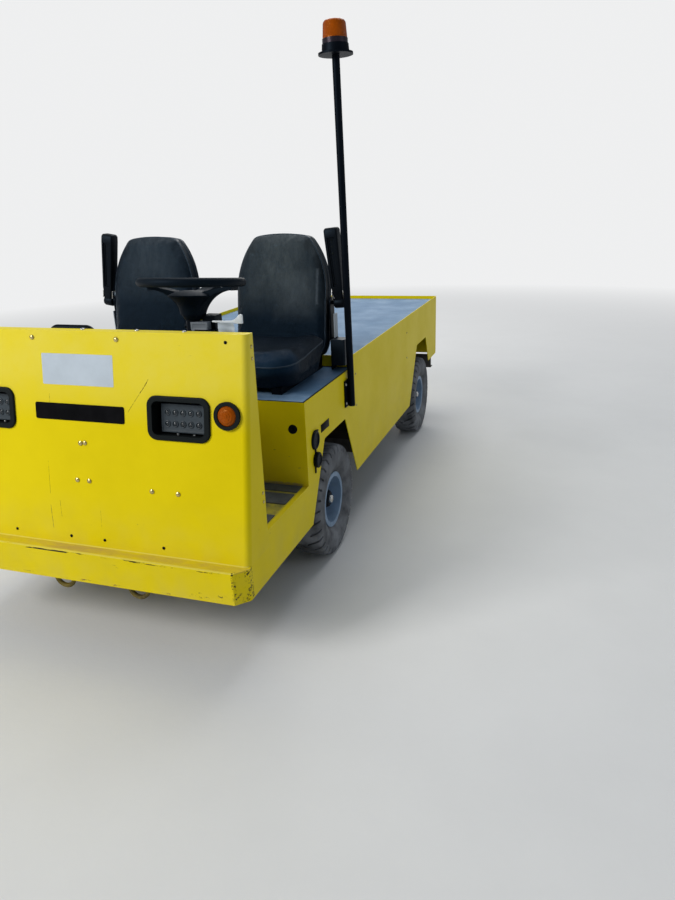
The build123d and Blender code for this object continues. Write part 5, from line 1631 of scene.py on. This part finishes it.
@dataclass
class SeatBack:
    """The seat back: a tall padded panel, narrower at the shoulders, with a welt round its edge."""

    foot_half: float = 190
    half: float = 205
    flank: Pair = (60, 270)
    shoulder: float = 330
    crown_radius: float = 590
    crown_half: float = 210
    height: float = 503
    foot_corner: float = 26
    front: float = 38
    rear: float = -40
    middle: float = 254
    roll: float = 0.13
    bulge: float = 5
    front_fall: float = 13
    rear_fall: float = 8
    seam_points: int = 84
    seam_clear: float = 5

    def _inside(self, x: float, height: float) -> bool:
        """Whether a point in the back's plane is on it.

        Args:
            x: Width from the back's middle in millimetres.
            height: Height above the foot in millimetres.

        Returns:
            True on the back.
        """
        x = abs(x)
        crown = self.height - self.crown_radius + math.sqrt(self.crown_radius ** 2 - min(x, self.crown_half) ** 2)
        if not 0 <= height <= crown:
            return False
        if height < self.flank[0]:
            wide = self.foot_half + (self.half - self.foot_half) * height / self.flank[0]
            low = max(0.0, self.foot_corner - height)
            return x <= wide - self.foot_corner + math.sqrt(self.foot_corner ** 2 - low ** 2)
        if height <= self.flank[1]:
            return x <= self.half
        above = min(height - self.flank[1], self.shoulder)
        return x <= self.half - self.shoulder + math.sqrt(self.shoulder ** 2 - above ** 2)

    def reach(self, angle: float) -> float:
        """How far the outline is from the middle in one direction, found by halving.

        Args:
            angle: The direction in the back's plane.

        Returns:
            The distance in millimetres.
        """
        near, far = 0.0, 420.0
        for _ in range(16):
            half_way = (near + far) / 2
            inside = self._inside(half_way * math.cos(angle), self.middle + half_way * math.sin(angle))
            near, far = (half_way, far) if inside else (near, half_way)
        return near

    def _shape(self, across: float, up: float, out: float) -> Point:
        """Where a point of the cube goes.

        Args:
            across: Cube coordinate across the seat, from -1 to 1.
            up: Cube coordinate from foot to head, from -1 to 1.
            out: Cube coordinate from the rear to the sitter, from -1 to 1.

        Returns:
            The point in millimetres about the back's middle.
        """
        angle = math.atan2(up * self.middle, across * self.half)
        share = max(abs(across), abs(up))
        distance = self.reach(angle) * share
        rolled = min(1.0, (1 - share) / self.roll)
        rise = math.sqrt(1 - (1 - rolled) ** 2)
        bulge = self.bulge * math.cos(across * 1.4) * math.cos(up * 1.3)
        front = self.front - self.front_fall * (1 - rise) + bulge
        rear = self.rear + self.rear_fall * (1 - rise)
        depth = rear + (out + 1) / 2 * (front - rear)
        return distance * math.cos(angle), distance * math.sin(angle), depth

    def form(self) -> Object:
        """The back before it is stuffed, in its own plane with local z to the sitter."""
        return Bench.shaped(self._shape)

    def seam(self, depth: float) -> list[Vector]:
        """A line round the back's edge at a depth, in the back's frame."""
        line = []
        for index in range(self.seam_points):
            angle = FULL_TURN * index / self.seam_points
            reach = self.reach(angle) + self.seam_clear
            line.append(Vector((reach * math.cos(angle), reach * math.sin(angle), depth)) * MM)
        return line


@dataclass
class Seats:
    """Two padded seats with their welts."""

    seat_x: float = 306
    back_lean: float = math.radians(10)
    back_foot: Pair = (1059, 799)
    cushion_welt: float = 2.6
    back_welt: float = 2.4
    back_seams: Pair = (24, -34)
    held_height: float = 0.05
    rear_give: float = 0.35
    cushion: SeatCushion = field(default_factory=SeatCushion)
    back: SeatBack = field(default_factory=SeatBack)

    def _welt(self, made: Object, outline: Sequence[Vector], radius: float) -> Object:
        """Lay a round welt on a padded form.

        Args:
            made: The form, in its own frame.
            outline: Points near the form that the welt follows.
            radius: The welt's radius.

        Returns:
            The welt's mesh.
        """
        points = []
        for point in outline:
            _, nearest, normal, _ = made.closest_point_on_mesh(point)
            points.append(nearest + normal * 0.5 * MM)
        return Bench.tube(points, radius, closed=True)

    def _place(self, work: Workshop, side: Side) -> dict[str, Matrix]:
        """Where a side's cushion and back stand.

        Args:
            work: The shared tools.
            side: The side.

        Returns:
            The matrices by word.
        """
        lean, x = self.back_lean, side.value * self.seat_x
        foot = work.layouts.site.place(x, *self.back_foot, (1, 0, 0), (0, math.sin(lean), math.cos(lean)))
        return {
            "cushion": work.layouts.floor(x, self.cushion.middle_y, self.cushion.low),
            "back": foot @ shift(0, self.back.middle, 0),
        }

    def build(self, work: Workshop) -> None:
        """Build both seats in place of the plain ones.

        Args:
            work: The shared tools.
        """
        cushion, back = self.cushion.form(), self.back.form()
        stuffing = PaddedForm()
        stuffing.inflate(cushion, lambda rest: min(1.0, max(0.0, rest.z / self.held_height)))
        stuffing.inflate(back, lambda rest: 1.0 if rest.z > -0.01 else self.rear_give)
        forms = {
            "cushion": (cushion, [self._welt(cushion, self.cushion.seam(), self.cushion_welt)]),
            "back": (back, [self._welt(back, self.back.seam(depth), self.back_welt) for depth in self.back_seams]),
        }
        for side in Side:
            for word, place in self._place(work, side).items():
                form, welts = forms[word]
                padded = Bench.scatter(Bench.twin(form), [place])
                work.finish_piece(
                    padded, f"padded_{word}_{side.word}", Finish.VINYL,
                    replaces=[f"seat_{word}_{side.word}"]
                )
                for index, welt in enumerate(welts):
                    laid = Bench.scatter(Bench.twin(welt), [place])
                    work.finish_piece(laid, f"welt_{word}_{side.word}_{index}", Finish.PIPING)
        for form, welts in forms.values():
            for spare in (form, *welts):
                bpy.data.objects.remove(spare)


@dataclass
class Armrests:
    """Tapered armrests with a long framed recess, a round boss on the pin and two bright clips."""

    pivot: Point = (556, 1105, 1016)
    leans: tuple[tuple[Side, float], ...] = ((Side.LEFT, 5.0), (Side.RIGHT, 9.0))
    sections: tuple[Point, ...] = (
        (-14, 15, 15), (18, 17, 19), (44, 22, 23), (62, 24, 25), (262, 28, 26), (284, 28, 25), (295, 25, 20),
    )
    recess: Pair = (66, 266)
    recess_steps: tuple[Pair, ...] = ((4.5, 0), (1.5, -5), (5, 0), (1.2, -2.5))
    dots: tuple[float, ...] = (248, 222, 196)
    boss: Profile = ((0, 24), (15, 24), (20, 21), (22, 16), (22, -16), (20, -21), (15, -24), (0, -24))
    dot: Profile = ((0, 1.6), (3, 1.4), (5, 0.4), (6, -0.6), (0, -0.6))
    dot_depth: float = -17.5
    clip: Point = (2.5, 26, 34)
    clip_spots: tuple[Point, ...] = ((-24, -6, 32), (24, -6, 32))

    def _body(self) -> Object:
        """The arm in its own frame: local z up from the pin, y to the rear."""
        Bench.take()
        bpy.ops.mesh.primitive_cube_add(size=2)
        made = bpy.context.active_object
        with Bench.editing(made):
            Bench.pick(made, faces_up)
            for _ in self.sections[2:]:
                bpy.ops.mesh.extrude_region_move(TRANSFORM_OT_translate={"value": (0, 0, 2)})
        for vertex in made.data.vertices:
            height, across, along = self.sections[round((vertex.co.z + 1) / 2)]
            vertex.co = Vector((math.copysign(across, vertex.co.x), math.copysign(along, vertex.co.y), height)) * MM
        Bench.soften(made, 7, 4, 60)
        low, high = self.recess

        def front(middle: Vector, normal: Vector) -> bool:
            """Whether a face is on the arm's front, within the recess's height."""
            return normal.y < -0.995 and low * MM < middle.z < high * MM

        with Bench.editing(made):
            Bench.pick(made, front)
            Bench.inset(*self.recess_steps)
        Bench.smooth(made, 38)
        return made

    def build(self, work: Workshop) -> None:
        """Build both armrests in place of the plain ones.

        Args:
            work: The shared tools.
        """
        facing = Matrix.Rotation(math.radians(90), 4, "X")
        sideways = Matrix.Rotation(math.radians(90), 4, "Y")
        x, y, z = self.pivot
        for side, lean in self.leans:
            turn = Matrix.Rotation(-side.value * math.radians(lean), 4, "Y")
            place = Matrix.Translation(work.layouts.site.point(side.value * x, y, z)) @ turn
            body = f"armrest_{side.word}"
            boss = Bench.lathe(self.boss, 36, 40)
            arm = Bench.join(self._body(), Bench.settle(boss, sideways))
            work.finish_piece(
                Bench.settle(arm, place), f"moulded_{body}", Finish.PLASTIC, body, [body]
            )
            dot = Bench.lathe(self.dot, 16)
            spots = [place @ shift(0, self.dot_depth, height) @ facing for height in self.dots]
            work.finish_piece(Bench.scatter(dot, spots), f"arm_dots_{side.word}", Finish.RUBBER, body)
            clip = Bench.block(self.clip, (0, 0, 0))
            Bench.soften(clip, 0.8)
            spots = [place @ shift(*spot) for spot in self.clip_spots]
            work.finish_piece(Bench.scatter(clip, spots), f"arm_clips_{side.word}", Finish.BRIGHT, body)


@dataclass
class DeckTrim:
    """The black edging round the seat deck and the small black plate on the driver's flank."""

    trim_width: float = 6
    trim_rise: float = 1.6
    deck: tuple[float, float, float, float] = (-587, 587, 568, 1129)
    deck_top: float = 741
    plate_size: Point = (92, 31, 1.6)
    plate_middle: Point = (766, 596, 0.8)

    def build(self, work: Workshop) -> None:
        """Build the edging as a ring, and the plate.

        Args:
            work: The shared tools.
        """
        ring = Bench.sheet(*self.deck)
        with Bench.editing(ring):
            bpy.ops.mesh.select_all(action="SELECT")
            Bench.inset((self.trim_width, 0))
            bpy.ops.mesh.delete(type="FACE")
            Bench.thicken(0, 0, self.trim_rise)
        Bench.soften(ring, 0.5)
        place = work.layouts.floor(0, 0, self.deck_top)
        work.finish_piece(Bench.settle(ring, place), "seat_deck_edging", Finish.PLASTIC)
        plate = Bench.block(self.plate_size, self.plate_middle)
        Bench.soften(plate, 0.6)
        flank = work.layouts.flank(Side.LEFT)
        work.finish_piece(Bench.settle(plate, flank), "blank_flank_plate", Finish.PLATE)


@dataclass
class HelmFittings:
    """The switch under the steering wheel, its white lever and blank tag, and the wheel's centre cap."""

    housings: tuple[tuple[Point, Point, Finish, str], ...] = (
        ((60, 42, 28), (341, 347, 1047), Finish.HOUSING, "switch_body"),
        ((46, 48, 50), (364, 374, 1054), Finish.PLASTIC, "switch_cover"),
    )
    barrel: Profile = ((0, 0), (11, 0), (13, 2), (13, 17), (9, 18), (9, 26), (7, 27), (0, 27))
    barrel_foot: Point = (306, 348, 1046)
    cap: Profile = (
        (0, -24), (30, -25), (52, -29), (70, -36), (77, -40), (77, -43), (64, -52), (52, -64), (44, -80), (41, -100),
        (0, -100),
    )
    lever: tuple[Point, ...] = (
        (386, 1061, 1066), (408, 1060, 1066), (430, 1059, 1066), (452, 1058, 1067), (466, 1058, 1072),
        (482, 1058, 1087), (491, 1058, 1086),
    )
    lever_y: float = 331
    lever_thickness: float = 9
    tag_middle: Point = (437, 327, 1046)

    def _lever(self) -> Object:
        """The flat tapered lever with its fin, in vehicle millimetres."""
        Bench.take()
        bpy.ops.mesh.primitive_grid_add(x_subdivisions=6, y_subdivisions=1, size=1)
        made = bpy.context.active_object
        for vertex in made.data.vertices:
            x, low, high = self.lever[round((vertex.co.x + 0.5) * 6)]
            vertex.co = Vector((x, self.lever_y, high if vertex.co.y > 0 else low)) * MM
        with Bench.editing(made):
            Bench.thicken(0, self.lever_thickness, 0)
        Bench.soften(made, 1.6)
        return made

    def _tag(self) -> Object:
        """The curled tag that hangs from the lever, in vehicle millimetres."""
        Bench.take()
        bpy.ops.mesh.primitive_grid_add(x_subdivisions=12, y_subdivisions=6, size=1)
        made = bpy.context.active_object
        across, along, height = self.tag_middle
        for vertex in made.data.vertices:
            x, up = vertex.co.x, vertex.co.y
            bow = 5 * math.sin(x * 5.5 + 0.8) * (0.5 - up) + 1.5 * math.sin(up * 9 + x * 3)
            vertex.co = Vector((across + 56 * x - 3 * up, along + bow, height + 31 * up + 3 * x)) * MM
        Bench.modify(made, "SOLIDIFY", thickness=0.5 * MM)
        Bench.smooth(made, 40)
        return made

    def build(self, work: Workshop) -> None:
        """Build the fittings round the column's head.

        Args:
            work: The shared tools.
        """
        ground = work.layouts.floor(0, 0, 0)
        for size, middle, finish, name in self.housings:
            made = Bench.block(size, middle)
            with Bench.editing(made):
                Bench.pick(made, lambda spot, normal: normal.y < -0.9)
                Bench.inset((6, 0), (0.8, -1.2))
            Bench.soften(made, 4, 3)
            work.finish_piece(Bench.settle(made, ground), name, finish)
        barrel = Bench.lathe(self.barrel, 32, 40)
        sideways = work.layouts.site.place(*self.barrel_foot, (0, 1, 0), (0, 0, -1))
        work.finish_piece(Bench.settle(barrel, sideways), "switch_barrel", Finish.PLASTIC)
        cap = Bench.lathe(self.cap, 64, 40)
        work.finish_piece(
            Bench.settle(cap, work.layouts.helm()), "helm_center_cap", Finish.HELM_PLASTIC, "steering_wheel",
        )
        work.finish_piece(Bench.settle(self._lever(), ground), "switch_lever", Finish.LEVER)
        work.finish_piece(Bench.settle(self._tag(), ground), "blank_tag", Finish.STICKER)


@dataclass
class SeatBoxPlug:
    """The round rubber plug and two screws on the front of the seat box."""

    plug: Profile = ((0, 1.5), (10, 1.4), (12, 3.2), (16, 3), (18, 1.5), (18.5, -0.5), (0, -0.5))
    plug_spot: Pair = (538, 639)
    screw: Profile = ((0, 2.6), (3, 2.3), (5, 1.2), (5.4, -0.4), (0, -0.4))
    screw_spots: tuple[Pair, ...] = ((503, 665), (503, 585))
    face_y: float = 568

    def build(self, work: Workshop) -> None:
        """Build the plug and the screws.

        Args:
            work: The shared tools.
        """
        face = work.layouts.site.place(0, self.face_y, 0, (1, 0, 0), (0, 0, 1))
        plug = Bench.lathe(self.plug, 32, 40)
        place = face @ shift(*self.plug_spot, 0)
        work.finish_piece(Bench.settle(plug, place), "seat_box_plug", Finish.PLASTIC)
        screw = Bench.lathe(self.screw, 12)
        heads = [face @ shift(*spot, 0) for spot in self.screw_spots]
        work.finish_piece(Bench.scatter(screw, heads), "seat_box_screws", Finish.STEEL)


@dataclass
class ChargeSockets:
    """The round charging socket with its flap, and the cap that hangs under it on a rubber strap."""

    ring: Profile = ((37, 0), (37, 4), (35, 7), (31, 9), (27, 8.5), (25, 5), (12, 4), (5, 5), (0, 5), (0, 0))
    ring_spot: Pair = (650, 576)
    cap: Profile = ((29, 0), (30, 3), (30, 13), (27, 16), (20, 16.5), (18, 13.5), (0, 13), (0, 0))
    cap_spot: Pair = (652, 497)
    straps: tuple[Point, ...] = ((648, 536.5, 24), (640, 461, 26))

    def build(self, work: Workshop) -> None:
        """Build the socket, the cap and the strap's two lengths in place of the plain ones.

        Args:
            work: The shared tools.
        """
        ring = Bench.lathe(self.ring, 40, 40)
        flap = Bench.block((44, 5, 9), (0, 33, 6))
        Bench.soften(flap, 2)
        pieces = [
            Bench.settle(Bench.join(ring, flap), shift(*self.ring_spot, 0)),
            Bench.settle(Bench.lathe(self.cap, 36, 40), shift(*self.cap_spot, 0)),
        ]
        for y, z, length in self.straps:
            strap = Bench.block((11, length, 3.5), (y, z, 2.5))
            Bench.soften(strap, 1.2)
            pieces.append(strap)
        made = Bench.settle(Bench.join(*pieces), work.layouts.flank(Side.LEFT))
        work.finish_piece(made, "charge_sockets", Finish.PLASTIC, replaces=["charge_port"])


@dataclass
class PedalPads:
    """Ribbed rubber pads on both pedals."""

    rows: tuple[Pair, ...] = ((225, 60), (410, 46))
    lean: float = math.radians(38)
    middle: Pair = (183.6, 494)
    length: float = 86
    thickness: float = 4
    rib_pitch: float = 6.6
    rib_rise: float = 2
    depth: float = -9

    def build(self, work: Workshop) -> None:
        """Build the pads.

        Args:
            work: The shared tools.
        """
        def rib(middle: Vector, normal: Vector) -> bool:
            """Whether a face on the pad's top belongs to a rib."""
            return faces_up(middle, normal) and int((middle.y / MM + self.length / 2) / self.rib_pitch) % 2 == 1

        pads = []
        up = (0, math.sin(self.lean), math.cos(self.lean))
        for x, width in self.rows:
            pad = Bench.block((width + 4, self.length, self.thickness), (0, 0, 0))
            with Bench.editing(pad):
                Bench.pick(pad, faces_up)
                bpy.ops.mesh.subdivide(number_cuts=12)
                bpy.ops.mesh.select_all(action="DESELECT")
                Bench.pick(pad, rib)
                Bench.lift(0, 0, self.rib_rise)
            place = work.layouts.site.place(x, *self.middle, (1, 0, 0), up)
            pads.append(Bench.settle(pad, place @ (shift(0, 0, self.depth) @ Matrix.Rotation(math.pi, 4, "Y"))))
        work.finish_piece(Bench.join(*pads), "pedal_pads", Finish.PLASTIC)


@dataclass
class Studio:
    """A pale floor, soft lights and the photograph's camera."""

    eye: Point = (1465, -1617, 1404)
    yaw: float = math.radians(19.15)
    pitch: float = math.radians(19.74)
    roll: float = math.radians(-2.25)
    focal_pixels: float = 690.8
    image_height: float = 900
    sensor: float = 36
    backdrop: Colour = (0.86, 0.865, 0.87)
    sky: Colour = (0.8, 0.9, 1.0)
    sky_strength: float = 0.3
    floor_fade: Pair = (2.5, 9.0)
    lamps: tuple[tuple[str, Point, Point, float, float, Colour], ...] = (
        ("key", (-3.4, -5.6, 4.2), (0, -0.6, 0.7), 2.6, 330, (1.0, 0.98, 0.95)),
        ("overhead", (0.0, 1.6, 5.2), (0, 0.6, 0.5), 4.0, 130, (1.0, 1.0, 1.0)),
        ("fill", (5.6, -1.0, 3.0), (0, 0.2, 0.6), 3.0, 20, (0.93, 0.96, 1.0)),
        ("rear", (-1.5, 5.5, 3.6), (0, 0.8, 0.7), 3.0, 90, (1.0, 0.98, 0.95)),
    )

    def camera(self, site: VehicleFrame) -> None:
        """Set up the camera that the photograph was taken with.

        Args:
            site: The vehicle's frame.
        """
        back = Vector((
            math.sin(self.yaw) * math.cos(self.pitch),
            -math.cos(self.yaw) * math.cos(self.pitch),
            math.sin(self.pitch),
        ))
        right = (-back).cross(Vector((0, 0, 1))).normalized()
        up = right.cross(-back).normalized()
        tilted_right = right * math.cos(self.roll) + up * math.sin(self.roll)
        tilted_up = up * math.cos(self.roll) - right * math.sin(self.roll)
        turned = Matrix((tilted_right, tilted_up, back)).transposed().to_4x4()
        lens = bpy.data.cameras.new("camera")
        lens.sensor_width = self.sensor
        lens.lens = self.focal_pixels / self.image_height * self.sensor
        lens.clip_end = 200
        camera = bpy.data.objects.new("camera", lens)
        bpy.context.scene.collection.objects.link(camera)
        camera.matrix_world = Matrix.Translation(site.point(*self.eye)) @ turned
        bpy.context.scene.camera = camera

    @staticmethod
    def _lamp(name: str, spot: Point, aim: Point, size: float, power: float, tint: Colour) -> None:
        """Hang one soft square lamp.

        Args:
            name: The lamp's name.
            spot: Where it hangs, in metres.
            aim: What it points at, in metres.
            size: Its width in metres.
            power: Its power in watts.
            tint: Its colour.
        """
        light = bpy.data.lights.new(name, "AREA")
        light.size = size
        light.energy = power
        light.color = tint
        lamp = bpy.data.objects.new(name, light)
        bpy.context.scene.collection.objects.link(lamp)
        lamp.location = spot
        lamp.rotation_euler = (Vector(aim) - Vector(spot)).to_track_quat("-Z", "Y").to_euler()

    def _world(self) -> None:
        """Light all round at a plain level, and show pale grey to the camera and through clear surfaces."""
        world = bpy.data.worlds.new("studio")
        bpy.context.scene.world = world
        world.use_nodes = True
        world.node_tree.nodes.clear()
        graph = Graph(world.node_tree)
        seen = graph.node("LightPath")
        show = graph.math("MAXIMUM", seen.outputs["Is Camera Ray"], seen.outputs["Is Transmission Ray"])
        light = graph.node("Background", None, Color=(*self.sky, 1.0), Strength=self.sky_strength)
        shown = graph.node("Background", None, Color=(*self.backdrop, 1.0), Strength=1.0)
        mixed = graph.node("MixShader", None, i0=show, i1=light.outputs[0], i2=shown.outputs[0])
        graph.node("OutputWorld", None, i0=mixed.outputs[0])

    def _floor(self, effects: Effects) -> None:
        """Lay a large pale floor.

        Args:
            effects: The shared shader groups.
        """
        Bench.take()
        bpy.ops.mesh.primitive_plane_add(size=60, location=(0, 0, 0))
        floor = bpy.context.active_object
        floor.name = "studio_floor"
        finish = SurfaceFinish("studio_floor", (0.7, 0.7, 0.695), (0.67, 0.67, 0.666), tone_scale=1.5,
                               roughness=(0.7, 0.85), grain_scale=40, grain_depth=0.0005)
        material = finish.material(effects)
        floor.data.materials.append(material)
        graph = Graph(material.node_tree)
        place = graph.node("TexCoord").outputs["Object"]
        away = graph.vector("LENGTH", place).outputs["Value"]
        seen = graph.node("LightPath")
        shown = graph.math("MAXIMUM", seen.outputs["Is Camera Ray"], seen.outputs["Is Glossy Ray"])
        share = graph.math("MULTIPLY", graph.ramp(away, *self.floor_fade), shown)
        pale = graph.node("Emission", None, Color=(*self.backdrop, 1.0), Strength=1.0)
        output = next(node for node in material.node_tree.nodes if node.type == "OUTPUT_MATERIAL")
        lit = output.inputs[0].links[0].from_socket
        mixed = graph.node("MixShader", None, i0=share, i1=lit, i2=pale.outputs[0])
        material.node_tree.links.new(mixed.outputs[0], output.inputs[0])

    def build(self, work: Workshop) -> None:
        """Build the studio.

        Args:
            work: The shared tools.
        """
        scene = bpy.context.scene
        scene.view_settings.view_transform = "Standard"
        self.camera(work.layouts.site)
        self._world()
        self._floor(work.shop.effects)
        for lamp in self.lamps:
            self._lamp(*lamp)


def corners(bounds: tuple[Vector, Vector]) -> list[list[float]]:
    """A box's two corners as plain lists."""
    return [list(corner) for corner in bounds]


def main() -> None:
    """Build the vehicle's looks in order."""
    logging.basicConfig(level=logging.INFO, format="%(name)s: %(message)s")
    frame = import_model()
    site = VehicleFrame.from_bumper()
    work = Workshop(Shop(site), Layouts(site), frame)
    Studio().build(work)
    parts = (FrameDress(), Bolts(), CowlPlates(), HeadLamps(), MarkerLamps(), Beacon(), Wheels(), Seats(),
             Armrests(), DeckTrim(), HelmFittings(), SeatBoxPlug(), ChargeSockets(), PedalPads())
    for part in parts:
        part.build(work)
        LOG.info("built %s", type(part).__name__)


if __name__ == "__main__":
    main()
